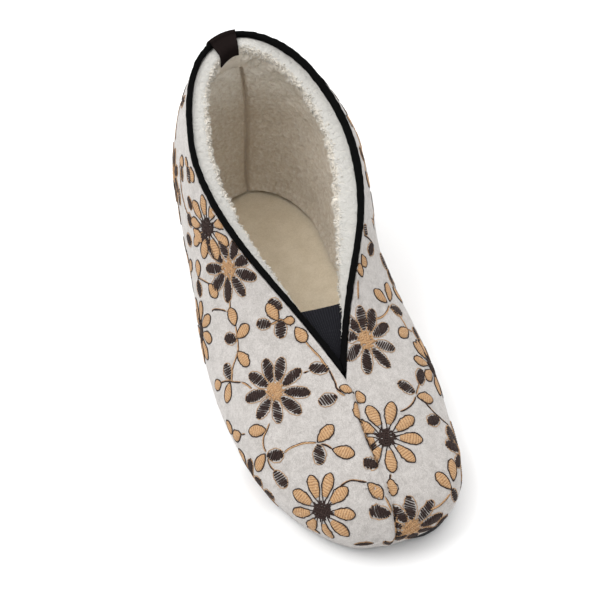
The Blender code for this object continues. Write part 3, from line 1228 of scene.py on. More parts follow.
@dataclass
class FleeceLining:
    """The fleece: its thick white edge round the ankle, its tufts, and the pile inside."""

    last: Last
    seed: int = 11
    heel_pace: float = 0.032
    # the edge: its height, its start beside the V, and its lumps and curls
    rim_start: float = 4.22
    rim_columns: int = 620
    rim_around: int = 36
    crown: float = 0.0013
    lowered: float = 0.75
    lump: float = 0.0016
    lump_scale: float = 190
    rim_curl: float = 0.00045
    rim_curl_scale: float = 620
    rim_seam: Row = (-0.09, 0.0013)
    full: float = 0.006
    under_tab: Row = (9.80, 10.70)
    # the tufts: how many, where round the edge's section, and the length and thickness of two sorts
    tufts: int = 3000
    tuft_row: Row = (0.525, 0.03)
    tuft_sides: int = 5
    tuft_ends: int = 4
    big_tuft: Row = (0.0016, 0.00050)
    small_tuft: Row = (0.0010, 0.00032)
    # the pile: its base, its share of the edge's fullness, and its groove, curls and clumps
    columns: int = 460
    rows: int = 120
    pile_low: float = 0.03
    pile_base: float = 0.0012
    pile_share: float = 0.78
    pile_most: float = 0.0080
    pile_bulge: float = 0.0014
    groove: float = 0.0026
    groove_width: float = 0.0011
    curl: float = 0.00045
    curl_scale: float = 520
    clump: float = 0.0007
    clump_scale: float = 110
    # u and the fleece's thickness in mm
    fullness: tuple[Row, ...] = (
        (4.2, 1.6), (4.6, 3.9), (4.97, 5.4), (5.08, 7.6), (5.3, 9.6), (5.7, 12.4),
        (6.2, 13.4), (6.9, 12.8), (7.8, 10.9), (8.8, 9.0), (9.6, 8.2), (11.0, 8.6),
        (13.0, 9.8), (14.6, 10.4), (14.88, 9.8), (14.97, 4.0), (15.2, 3.0), (15.8, 1.4),
    )
    # the edge's section: v and share of the thickness, and over the top share and height
    rim_rows: tuple[Row, ...] = ((0.87, 0), (0.945, 0), (1, 0))
    crown_rows: tuple[Row, ...] = ((0.08, 0.6), (0.38, 1.0), (0.78, 0.8))
    inside_rows: tuple[Row, ...] = ((0.972, 1.0), (0.935, 1.02), (0.9, 0.92), (0.87, 0.65))
    rim: Optional[np.ndarray] = None
    rim_out: Optional[np.ndarray] = None

    def thickness(self, u: np.ndarray) -> np.ndarray:
        """How thick the fleece is at each place round the foot.

        Args:
            u: The places.

        Returns:
            The thickness in metres.
        """
        rows = np.array(self.fullness)
        around = [np.interp((u + off) % TURN, rows[:, 0], rows[:, 1]) for off in (-0.05, 0, 0.05)]
        return np.mean(around, 0) / PER_METRE

    def rim_table(self, u: np.ndarray) -> np.ndarray:
        """Points of the fleece edge.

        Args:
            u: Places round the foot.

        Returns:
            The points, by place round the foot and place round the edge's section.
        """
        last = self.last
        start = last.felt + last.overhang + GAP
        thick = self.thickness(u)
        lower = 1 - self.lowered * last.by_ankle(u)
        ring = [last.under(u, v, start + share * thick) for v, share in self.rim_rows]
        for share, height in self.crown_rows:
            ring.append(last.by_collar(u, start + share * thick, height * self.crown * lower))
        ring += [last.under(u, v, start + share * thick) for v, share in self.inside_rows]
        curve = Spline(np.stack(ring), range(len(ring) + 1), closed=True)
        turn = np.linspace(0, len(ring), self.rim_around + 1)
        return np.swapaxes(curve(turn), 0, 1)

    def build_rim(self) -> bpy.types.Object:
        """Makes the thick edge, with lumps and notches of the pile on its inner side.

        Returns:
            The edge.
        """
        u = np.linspace(self.rim_start, TURN - self.rim_start, self.rim_columns + 1)
        table = self.rim_table(u)
        out = normals_of(table)
        out[:, 0] = out[:, -1] = unit(out[:, 0] + out[:, -1])
        turn = np.linspace(0, 1, self.rim_around + 1)
        inner = smooth((turn - 0.42) / 0.15) * smooth((1.0 - turn) / 0.1)
        lumps = ripple(table, self.lump_scale, 1.3, 3) * self.lump * inner
        off, width = self.rim_seam
        seam = bell((u - HEEL - off) * self.heel_pace, width)[:, None]
        lumps -= self.lump * seam * smooth((turn - 0.52) / 0.1) * smooth((1.0 - turn) / 0.1)
        curls = ripple(table, self.rim_curl_scale, 4.4) * self.rim_curl
        curls *= smooth((turn - 0.25) / 0.1)
        low, high = self.under_tab
        tabbed = smooth((u - low + 0.05) / 0.15) * smooth((high + 0.05 - u) / 0.15)
        thin = (np.minimum(1, self.thickness(u) / self.full) * (1 - 0.9 * tabbed))[:, None]
        table = table + ((lumps + curls) * thin)[..., None] * out
        table[:, -1] = table[:, 0]
        # The share is 1 on the crown and 0 down the inner face, which so takes the brighter colour:
        # painted light on the shaded inner face. It drops a little where the curls sink.
        tone_and_shade = np.clip(1 - smooth((turn - 0.44) / 0.14) - 0.15 * (curls < 0), 0, 1)
        self.rim, self.rim_out = table, out
        mesh = closed(welded(laid(table, tone_and_shade=tone_and_shade), cap=True))
        return piece("fleece_edge", mesh, FleeceFinish(), "fleece_cuff")

    def tuft(self, dice: np.random.Generator, i: int, j: int) -> np.ndarray:
        """One thin pointed tuft, leaning out of the edge.

        Args:
            dice: What its size and lean are drawn from.
            i: Its column on the edge.
            j: Its row.

        Returns:
            Its points by place along it and round it.
        """
        rim, out = self.rim, self.rim_out[i, j]
        along, down = unit(rim[i + 1, j] - rim[i - 1, j]), unit(rim[i, j + 1] - rim[i, j - 1])
        across = float(np.linalg.norm(rim[i, self.rim_around // 2] - rim[i, self.rim_around // 6]))
        long, wide = self.big_tuft if dice.random() < 0.5 else self.small_tuft
        full = min(1.0, across / self.full)
        reach = long * dice.uniform(0.5, 1.4) * full
        thick = wide * dice.uniform(0.8, 1.2) * full
        lean = unit(out * 0.9 + along * dice.normal(0, 0.6) + down * dice.uniform(-0.3, 0.9))
        bend = along * dice.normal(0, 0.35) + down * dice.uniform(-0.2, 0.6)
        way = np.linspace(0, 1, self.tuft_ends)[:, None]
        spine = rim[i, j] - 0.0004 * out + way * reach * lean + way**2 * reach * bend
        one = unit(np.cross(lean, out + 0.3 * along))
        ring = np.linspace(0, 2 * pi, self.tuft_sides)[:, None]
        circle = np.cos(ring) * one + np.sin(ring) * np.cross(lean, one)
        return spine[:, None] + (thick * (1 - way) ** 0.5)[:, None] * circle[None]

    def build_tufts(self) -> bpy.types.Object:
        """Makes the thin tufts along the fleece's inner edge.

        Returns:
            The tufts, joined.
        """
        dice = np.random.default_rng(self.seed)
        columns, rows = self.rim_columns, self.rim_around
        low, high = self.under_tab
        made = []
        while len(made) < self.tufts:
            i = int(dice.integers(2, columns - 2))
            if low < self.rim_start + (TURN - 2 * self.rim_start) * i / columns < high:
                continue
            j = int(round(np.clip(dice.normal(*self.tuft_row), 0.45, 0.8) * rows))
            made.append(self.tuft(dice, i, j))
        table = np.concatenate(made)
        # Low shares give the tufts the edge's brighter inner-face colour, painted light on tufts
        # that hang in shade, fading a little towards their tips.
        paler = np.tile(np.linspace(0.25, 0.5, self.tuft_ends), len(made))
        tone_and_shade = paler[:, None] + 0 * table[..., 0]
        mesh = welded(laid(table, (0.002, 0.002), strips=len(made), tone_and_shade=tone_and_shade), cap=True)
        return piece("fleece_tufts", closed(mesh), FleeceFinish())

    def build_pile(self) -> bpy.types.Object:
        """Makes the lining from the edge down to the insole, grooved at the back seam.

        Returns:
            The lining.
        """
        last = self.last
        u, t = np.meshgrid(closer(self.columns), np.linspace(0, 1, self.rows + 1), indexing="ij")
        here = np.minimum(u, TURN - u)
        v = self.pile_low + t * (1 - self.pile_low - 0.07 * smooth((here - THROAT) / 0.6))
        v = np.where((t == 1) & (here <= THROAT), 1, v)
        ends = self.fullness[0][0], self.fullness[-1][0]
        full = np.where(here <= THROAT, last.fleece(u), self.thickness(np.clip(u, *ends)))
        full = np.minimum(full, self.pile_most * (1 + smooth((v - 0.50) / 0.35)))
        thick = self.pile_base + self.pile_share * full * (0.62 + 0.38 * smooth(v / 0.35))
        thick = thick + self.pile_bulge * (1 - smooth(v / 0.1))
        table = last.under(u, v, last.felt + last.overhang + thick)
        inward = -normals_of(table)
        seam = HEEL - 0.06 - 0.10 * np.sin(pi * np.clip(v, 0, 1))
        off = (u - seam) * self.heel_pace
        groove = bell(off, self.groove_width) + 0.2 * bell(off, 0.006)
        curls = ripple(table, self.curl_scale, 7.7)
        shift = curls * self.curl + ripple(table, self.clump_scale, 2.2) * self.clump
        shift -= self.groove * groove * smooth((1.02 - v) / 0.05)
        table = table + (shift * smooth((1 - v) / 0.06))[..., None] * inward
        table[-1] = table[0]
        # The share grows towards the top, so the pile is paler there: partly its own tone, partly
        # painted light of the lit band under the edge. It rises on the curls and falls in the back
        # seam's groove: painted shade between the curls and in the groove.
        tone_and_shade = 0.35 + 0.45 * smooth((v - 0.5) / 0.45) + 0.25 * curls - 0.9 * groove
        tone_and_shade[-1] = tone_and_shade[0]
        mesh = welded(laid(table, inward=True, tone_and_shade=np.clip(tone_and_shade, 0, 1)))
        # Brighter colours than the edge's crown, painted light in the shaded inside, and warmer,
        # the pile's own beige; its curl noise darkens it between the curls, painted shade.
        finish = FleeceFinish("beige_fleece", (0.98, 0.93, 0.83), (0.66, 0.56, 0.44), 560)
        return piece("fleece_lining", mesh, finish)


@dataclass
class Gusset:
    """The black elastic panel across the V."""

    last: Last
    end: float = 5.06
    thickness: float = 0.0012
    tuck: float = 0.0030
    sag: float = 0.0006
    levels: int = 12
    across: int = 60
    along: int = 60
    map_size: Row = (0.026, 0.042)

    def build(self) -> bpy.types.Object:
        """Makes the panel, ribbed along the V, its edges tucked under the fleece.

        Returns:
            The panel.
        """
        last = self.last
        u = np.linspace(THROAT, self.end, self.along + 1)
        depth = last.felt + last.overhang + last.fleece(u) + 2 * GAP
        rows = last.at(u[:, None], np.linspace(0, 1, self.levels)[None, :])
        length = np.linalg.norm(np.diff(rows, axis=1), axis=-1).sum(1)
        share = 1 - self.tuck / length
        medial = last.under(u, share, depth)
        lateral = last.under(TURN - u, share, depth)
        way = np.linspace(0, 1, self.across + 1)
        table = medial[None] + way[:, None, None] * (lateral - medial)[None]
        down = np.linspace(0, 1, self.along + 1)
        table[..., 2] -= np.sin(pi * way)[:, None] * down[None] * self.sag
        mesh = welded(laid(table, self.map_size))
        bmesh.ops.solidify(mesh, geom=mesh.faces[:], thickness=self.thickness)
        return piece("elastic_gusset", closed(mesh), ElasticFinish(), "gusset")


@dataclass
class PullTab:
    """The flat dark webbing over the collar at the back, beside the heel seam."""

    last: Last
    width: float = 0.0165
    thickness: float = 0.0008
    start: float = 9.94
    step: float = 0.01
    inner_leg: float = 0.0024
    inner_spread: float = 0.30
    inner_lean: float = 0.02
    outer_leg: float = 0.0110
    binding_height: float = 0.0030
    crown: float = 0.0020
    length: float = 0.034
    columns: int = 26
    rows: int = 60
    # how far each stop of the path takes part in the inner leg's spread
    parts: tuple[float, ...] = (0, 0, 0, 0, 0.1, 0.35, 0.7, 1)

    def build(self) -> bpy.types.Object:
        """Makes the tab: up the back, over the binding and the fleece, and down inside.

        Returns:
            The tab.
        """
        last = self.last
        run, u_end = 0.0, self.start
        while run < self.width:
            ahead = np.array([u_end, u_end + self.step])
            run += float(np.linalg.norm(np.diff(last.top(ahead), axis=0)))
            u_end += self.step
        u = np.linspace(self.start, u_end, self.columns + 1)
        over = GAP + self.binding_height + GAP
        outside = -last.overhang - GAP
        inside = last.felt + last.overhang + 3 * GAP
        thick = last.fleece(u)
        # depth in from the felt's outside, and height over its edge
        path = (
            (outside, -self.outer_leg),
            (outside, -self.outer_leg / 2),
            (outside, GAP + 0.6 * self.binding_height),
            (last.felt / 2, over),
            (last.felt + last.overhang, over - 0.2 * self.binding_height),
            (inside + 0.4 * thick, self.crown + 2 * GAP),
            (inside + 0.8 * thick, 0.7 * self.crown + GAP),
            (inside + thick, -self.inner_leg),
        )
        spread = (u - u[0]) * self.inner_spread - self.inner_lean
        stops = [
            last.by_collar(u + part * spread, depth + 0 * u, height + 0 * u)
            for part, (depth, height) in zip(self.parts, path)
        ]
        line = Spline(np.stack(stops), range(len(path)))
        table = line(np.linspace(0, len(path) - 1, self.rows + 1))
        mesh = closed(welded(laid(np.swapaxes(table, 0, 1)[::-1], (self.width, self.length))))
        if sum((f.normal.z for f in mesh.faces)) < 0:
            bmesh.ops.reverse_faces(mesh, faces=mesh.faces)
        bmesh.ops.solidify(mesh, geom=mesh.faces[:], thickness=-self.thickness)
        pale, deep = (0.018, 0.012, 0.011), (0.006, 0.004, 0.004)
        finish = TapeFinish("dark_webbing", pale, deep, weave=5200, lint=0.05)
        return piece("pull_tab", closed(mesh), finish, "heel_tab")


@dataclass
class SoleSlab:
    """A slab with the foot's plan and rounded edges."""

    last: Last
    inset: float
    low: float
    high: float
    radius: float
    tucked: float = 0.0
    along: int = 110
    across: int = 34
    edge_rows: int = 5

    def mesh(self) -> bmesh.types.BMesh:
        """Lays the slab's rounded side as a band, and its flats as ladders from side to side.

        Returns:
            The slab, closed.
        """
        last, radius = self.last, self.radius
        u = np.linspace(0, TURN, 2 * self.along + 1)
        turn = np.linspace(0, pi / 2, self.edge_rows + 1)
        levels = [(radius * (1 - sin(a)), self.low + radius * (1 - cos(a))) for a in turn]
        levels += [(radius * (1 - cos(a)), self.high - radius * (1 - sin(a))) for a in turn]
        inset = (self.inset + self.tucked * last.wrap(u))[:, None]
        plan = [last.outline(u) - (inset + extra) * last.outward(u) for extra, _ in levels]
        band = [last.over_sole(flat, height) for flat, (_, height) in zip(plan, levels)]
        table = np.stack(band, 1)
        table[-1] = table[0]
        mesh = laid(table, (0.6, 0.005))
        way = np.linspace(0, 1, self.across + 1)[:, None, None]
        for row, height, inward in ((-1, self.high, False), (0, self.low, True)):
            medial = table[: self.along + 1, row]
            lateral = table[::-1, row][: self.along + 1]
            flat = last.over_sole(lateral[None] + way * (medial - lateral)[None], height)
            laid(flat, (0.1, 0.26), onto=mesh, inward=inward)
        return welded(mesh)


@dataclass
class Soles:
    """The rubber outsole and the felt insole."""

    last: Last
    margin: float = 0.0012
    edge_radius: float = 0.0014
    tucked: float = 0.0042
    insole_clearance: float = 0.0007
    insole_thickness: float = 0.0040
    insole_radius: float = 0.0010

    def build_outsole(self) -> bpy.types.Object:
        """Makes the outsole, wider than the felt's lower edge by the big toe only."""
        last = self.last
        inset = last.feather_inset - self.margin
        slab = SoleSlab(last, inset, -last.sole_thickness, 0, self.edge_radius, self.tucked)
        return piece("rubber_outsole", slab.mesh(), RubberFinish(), "outsole")

    def build_insole(self) -> bpy.types.Object:
        """Makes the insole inside the felt wall."""
        last = self.last
        inset = last.feather_inset + last.felt + self.insole_clearance
        slab = SoleSlab(last, inset, GAP, GAP + self.insole_thickness, self.insole_radius)
        return piece("insole_pad", slab.mesh(), InsoleFinish(), "insole")


# The embroidery


@dataclass(frozen=True)
class Spot:
    """A place on the felt with its directions: round the foot, up the wall and out."""

    place: Vector
    across: Vector
    up: Vector
    out: Vector
    side: int


@dataclass(frozen=True)
class Cloth:
    """The outside of the felt, to lay stitches on."""

    last: Last
    surface: BVHTree
    stride: float = 0.0045
    sink: float = 0.0009
    spare: float = 0.03
    over_seam: float = 0.0001
    over_edge: float = 0.0004
    toe_half: float = 0.03

    def spot(self, u: float, v: float) -> Spot:
        """The place at u and v on the felt.

        Args:
            u: The place round the foot.
            v: The share of the way up.

        Returns:
            The place with its directions and its side of the toe's seam.
        """
        rows = self.last.at(np.full(3, u), np.clip([v, v - 0.02, v + 0.02], 0, 1))
        place, out, _, _ = self.surface.find_nearest(Vector(rows[0]))
        up = Vector(rows[2] - rows[1])
        up = (up - up.dot(out) * out).normalized()
        medial = u < HEEL
        if self.on_toe(place):
            medial = self.last.from_seam(np.array(place)) > 0
        return Spot(place, up.cross(out), up, out, 1 if medial else -1)

    def on_toe(self, point: Vector) -> bool:
        """Whether a point lies by the toe's seam, before the V."""
        return point.y < self.last.tip[1] and abs(point.x) < self.toe_half

    def past_seam(self, point: Vector, side: int) -> float:
        """How far a point lies over the toe's seam from its own side, or 0."""
        if not self.on_toe(point):
            return 0
        return max(0, -side * float(self.last.from_seam(np.array(point))))

    def walk(self, spot: Spot, x: float, y: float) -> tuple[Vector, Vector, float]:
        """Walks over the felt from a spot.

        Args:
            spot: Where the walk starts.
            x: How far it goes across.
            y: How far it goes up.

        Returns:
            The place, the way out of the felt there, and how far the walk ran past the felt's
            own edge or seam.
        """
        way = spot.across * x + spot.up * y
        steps = max(1, ceil(way.length / self.stride))
        way /= steps
        place, out, past, spill = spot.place, spot.out, 0.0, Vector()
        for _ in range(steps):
            ahead = place + way
            place, out, _, _ = self.surface.find_nearest(ahead)
            off = ahead - place
            off -= off.dot(out) * out
            spill += off
            past += off.length
            pace = way.length
            way = way - way.dot(out) * out
            way *= pace / max(way.length, 1e-9)
        return place + self.spare * spill, out, past

    def lay(self, spot: Spot, table: np.ndarray) -> np.ndarray:
        """Lays points of a flat motif on the felt.

        Args:
            spot: The motif's own zero.
            table: Points across, up and out from it.

        Returns:
            Their places. What runs past the felt's edge or seam sinks into the felt.
        """
        flat = table.reshape(-1, 3)
        made = np.empty_like(flat)
        for i, (x, y, height) in enumerate(flat):
            place, out, past = self.walk(spot, x, y)
            over = self.past_seam(place, spot.side)
            if over:
                place = place + Vector((spot.side * over * (1 - self.spare), 0, 0))
            if over > self.over_seam or past > self.over_edge:
                height -= self.sink
            made[i] = place + float(height) * out
        return made.reshape(table.shape)


@dataclass(frozen=True)
class Leaf:
    """A leaf of stitches: where its stalk ends, which way it points and how long it is, in mm."""

    thread: Thread
    u: float
    v: float
    angle: float
    length: float


@dataclass(frozen=True)
class Flower:
    """A daisy: its middle, and the angle and the reach of each petal, in mm."""

    thread: Thread
    u: float
    v: float
    petals: tuple[Row, ...]


@dataclass(frozen=True)
class Vine:
    """A stalk of thick thread through places on the felt."""

    thread: Thread
    stops: tuple[Row, ...]


def daisy(turn: float) -> tuple[Row, ...]:
    """Nine even petals round a middle, the first at an angle, every second one a little short."""
    return tuple((turn + 360 * i / 9, 17.5 - 0.8 * (i % 2)) for i in range(9))


T, D = Thread.TAN, Thread.DARK
# thread, u and v of the middle, then the angle and the reach of each petal
FLOWERS = tuple(
    Flower(*row)
    for row in (
        (D, 15.75, 0.637, (
            (178, 17.5), (146, 17), (104, 16.5), (61, 18.4), (26, 18.4), (-15, 16.2), (-61, 16.2),
            (-106, 18), (-146, 18.2),
        )),
        (D, 4.54, 0.879, (
            (5, 18), (-22, 18.2), (-57, 17.4), (-105, 15.8), (-148, 17.6), (172, 18.5), (130, 16),
            (80, 16), (40, 16),
        )),
        (T, 2.40, 0.806, (
            (45, 17.7), (4, 18.9), (-35, 19), (-72, 18.6), (-113, 17.8), (-156, 17.5), (163, 17),
            (122, 17), (84, 17),
        )),
        (T, 18.29, 0.419, (
            (143, 17.7), (110, 18.4), (74, 17), (27, 16.8), (-14, 17.4), (-55, 17), (-100, 16),
            (-139, 17.6), (-178, 17.5),
        )),
        (D, 0.62, 0.330, (
            (100, 16), (66, 16.5), (22, 17), (-16, 17), (-60, 16), (-100, 16), (-140, 16),
            (180, 16), (140, 16),
        )),
    )
) + tuple(
    # thread, u, v and the turn of a flower with even petals
    Flower(*place, daisy(turn))
    for *place, turn in (
        (D, 14.10, 0.868, -47), (T, 13.52, 0.885, 15), (T, 14.16, 0.371, -10),
        (D, 11.70, 0.560, 12), (T, 12.75, 0.260, 33), (T, 10.75, 0.300, 5), (D, 9.30, 0.520, 20),
        (T, 8.15, 0.800, 0), (D, 7.25, 0.420, 28), (T, 8.60, 0.220, 14), (T, 5.95, 0.330, 8),
        (D, 3.05, 0.180, 22), (T, 4.40, 0.340, 17), (D, 16.55, 0.060, 10),
    )
)
# u and v of the stalk's end, the angle and the length in mm
LEAVES = tuple(
    Leaf(thread, *row)
    for thread, rows in (
        (T, (
            (14.70, 0.674, 167, 9.6), (14.84, 0.636, 96, 9.7), (14.99, 0.590, 14, 10.4),
            (15.12, 0.374, -115, 8.2), (15.24, 0.439, -54, 10.6), (14.96, 0.905, -172, 10.1),
            (14.99, 0.925, 62, 6), (15.13, 0.958, 9, 9.2), (14.00, 0.678, -2, 9),
            (16.13, 0.952, 55, 7), (3.33, 0.985, -161, 8.8), (3.67, 0.960, -147, 7),
            (3.67, 0.567, -83, 10.8), (2.15, 0.333, 18, 11.5), (1.95, 0.331, 80, 11),
            (5.12, 0.708, 65, 10), (5.16, 0.676, -6, 11.5), (4.83, 0.541, 130, 10.6),
            (4.73, 0.466, -164, 9.6), (5.58, 0.980, -131, 7), (5.33, 0.951, 26, 7),
            (1.16, 0.758, -129, 8.1), (19.34, 0.887, -30, 10.2), (16.01, 0.311, -112, 9.2),
            (16.25, 0.481, -116, 11.4), (16.61, 0.401, -77, 11.4), (16.09, 0.192, 2, 8.4),
            (17.12, 0.703, 101, 10.8), (17.53, 0.761, 36, 11), (15.58, 0.244, -3, 8),
            (13.26, 0.753, 8, 11), (12.58, 0.915, 157, 6), (12.72, 0.974, -36, 8),
            (13.75, 0.607, 129, 9), (12.05, 0.780, 40, 10), (12.30, 0.420, 120, 10),
            (11.20, 0.850, 150, 10), (10.70, 0.620, 80, 10), (10.15, 0.860, 20, 10),
            (9.90, 0.700, -60, 10), (9.55, 0.240, 30, 10), (8.75, 0.560, 110, 10),
            (7.75, 0.560, -30, 10), (7.60, 0.900, 160, 10), (6.75, 0.880, -100, 10),
            (6.60, 0.640, 30, 10), (6.35, 0.700, 150, 10), (5.35, 0.480, 60, 10),
            (6.90, 0.160, 10, 10), (5.20, 0.160, 170, 10), (11.75, 0.160, 170, 10),
            (2.30, 0.120, 30, 9), (13.35, 0.480, 70, 10), (18.05, 0.080, 40, 9),
        )),
        (D, (
            (14.86, 0.625, -137, 8.2), (15.21, 0.453, 174, 8.9), (14.96, 0.852, -125, 7.5),
            (14.96, 0.913, -20, 9.3), (14.86, 0.962, -156, 7.5), (15.79, 0.949, -124, 9.2),
            (13.75, 0.582, -26, 8.5), (16.31, 0.920, -94, 9.2), (3.92, 0.528, -24, 11),
            (3.73, 0.582, 63, 9.6), (3.37, 0.424, 122, 9.6), (3.33, 0.346, -171, 9.2),
            (1.96, 0.325, -110, 7), (5.08, 0.674, -99, 9.1), (4.95, 0.458, -155, 8),
            (5.86, 0.706, -116, 10), (5.83, 0.831, 147, 9), (5.92, 0.994, -123, 6),
            (0.38, 0.603, 152, 10.5), (0.22, 0.055, 127, 9), (16.65, 0.409, 55, 9.7),
            (16.99, 0.387, 3, 10.1), (17.20, 0.702, -35, 9.4), (17.00, 0.167, 22, 8),
            (1.89, 0.888, 94, 9), (1.34, 0.875, 129, 8), (12.94, 0.724, 5, 8.7),
            (13.04, 0.609, 19, 9.4), (13.47, 0.813, 2, 8.2), (12.54, 0.917, -32, 9),
            (12.21, 0.801, -45, 8), (12.82, 0.799, 0, 8), (12.20, 0.640, -60, 9),
            (11.35, 0.880, 60, 9), (11.10, 0.420, -140, 9), (10.60, 0.800, 130, 9),
            (10.05, 0.560, 10, 9), (9.70, 0.860, 100, 9), (8.85, 0.700, -30, 9),
            (8.05, 0.420, 160, 9), (7.35, 0.760, 60, 9), (6.95, 0.860, 80, 9),
            (6.45, 0.500, -90, 9), (7.75, 0.170, 60, 9), (5.55, 0.560, 20, 9),
            (6.05, 0.130, 120, 9), (4.05, 0.140, 20, 9), (9.55, 0.100, 150, 9),
            (13.60, 0.160, 30, 9), (1.20, 0.090, 60, 9), (19.20, 0.120, 20, 9),
        )),
    )
    for row in rows
)
# u and v of each stop of a stalk
VINES = tuple(
    Vine(thread, stops)
    for thread, lines in (
        (D, (
            ((14.29, 0.585), (14.30, 0.610), (14.39, 0.652), (14.46, 0.673)),
            ((15.11, 0.369), (15.18, 0.420), (15.27, 0.459), (15.36, 0.502)),
            ((15.70, 0.825), (15.71, 0.858)),
            ((13.83, 0.594), (13.75, 0.600), (13.92, 0.654), (14.00, 0.678)),
            ((15.79, 0.954), (15.90, 0.944), (16.13, 0.934), (16.30, 0.985)),
            ((3.64, 0.990), (3.60, 0.968)),
            ((2.80, 0.975), (2.59, 0.960)),
            ((3.21, 0.697), (3.37, 0.637), (3.54, 0.595), (3.66, 0.576)),
            ((3.65, 0.564), (3.59, 0.515), (3.44, 0.449), (3.36, 0.327)),
            ((18.37, 0.645), (18.45, 0.693), (18.59, 0.746), (18.87, 0.802), (19.28, 0.880)),
            ((1.31, 0.767), (1.13, 0.756)),
            ((16.02, 0.310), (16.07, 0.343)),
            ((16.70, 0.396), (16.84, 0.384), (17.00, 0.388)),
            ((17.21, 0.711), (17.33, 0.739), (17.53, 0.761)),
            ((5.81, 0.974), (5.84, 0.883), (5.84, 0.811)),
            ((12.05, 0.780), (12.25, 0.720), (12.55, 0.700), (12.94, 0.724)),
            ((9.90, 0.700), (10.10, 0.780), (10.15, 0.860), (10.60, 0.800)),
            ((8.75, 0.560), (8.85, 0.640), (8.85, 0.700)),
            ((6.35, 0.700), (6.60, 0.640), (6.75, 0.560), (7.00, 0.500)),
            ((5.20, 0.160), (5.45, 0.190), (5.70, 0.230)),
        )),
        (T, (
            (
                (14.70, 0.674), (14.76, 0.659), (14.85, 0.635), (14.92, 0.616), (14.99, 0.590),
                (15.05, 0.549), (15.11, 0.505), (15.17, 0.479), (15.25, 0.453),
            ),
            ((15.36, 0.502), (15.43, 0.522), (15.54, 0.536)),
            ((14.96, 0.852), (14.96, 0.893), (14.96, 0.913), (15.00, 0.934), (15.01, 0.963)),
            ((14.40, 0.739), (14.46, 0.713), (14.475, 0.692), (14.46, 0.673)),
            ((15.34, 0.949), (15.47, 0.951), (15.60, 0.957), (15.71, 0.954), (15.79, 0.954)),
            ((16.16, 0.927), (16.42, 0.970)),
            ((3.70, 0.567), (3.83, 0.548), (3.92, 0.528)),
            ((1.83, 0.326), (1.62, 0.339), (1.38, 0.358), (1.17, 0.391)),
            ((4.83, 0.820), (4.87, 0.769), (4.96, 0.721), (5.09, 0.683)),
            ((5.04, 0.677), (5.00, 0.607), (4.87, 0.554), (4.83, 0.535), (4.84, 0.483)),
            ((5.28, 0.980), (5.17, 0.974), (5.05, 0.962)),
            ((0.55, 0.744), (0.47, 0.651), (0.43, 0.590)),
            ((16.17, 0.515), (16.27, 0.475), (16.33, 0.444), (16.47, 0.416), (16.59, 0.411)),
            ((16.85, 0.505), (16.84, 0.541), (16.88, 0.587), (16.96, 0.638), (17.13, 0.695)),
            ((0.58, 0.537), (0.37, 0.451), (0.27, 0.175)),
            ((11.20, 0.850), (11.30, 0.800), (11.55, 0.720)),
            ((10.70, 0.620), (10.90, 0.560), (11.10, 0.420), (10.95, 0.400)),
            ((7.75, 0.560), (7.95, 0.620), (8.10, 0.680)),
            ((7.60, 0.900), (7.35, 0.850), (6.95, 0.860), (6.75, 0.880)),
            ((5.35, 0.480), (5.55, 0.560), (5.75, 0.480), (5.90, 0.430)),
            ((6.05, 0.130), (6.45, 0.150), (6.90, 0.160), (7.30, 0.240)),
            ((9.55, 0.100), (9.60, 0.170), (9.55, 0.240), (9.45, 0.400)),
        )),
    )
    for stops in lines
)


@dataclass(frozen=True)
class Motif:
    """A petal or leaf along x: its start, length, width, and the bend of its outline."""

    start: float
    length: float
    width: float
    bend: float


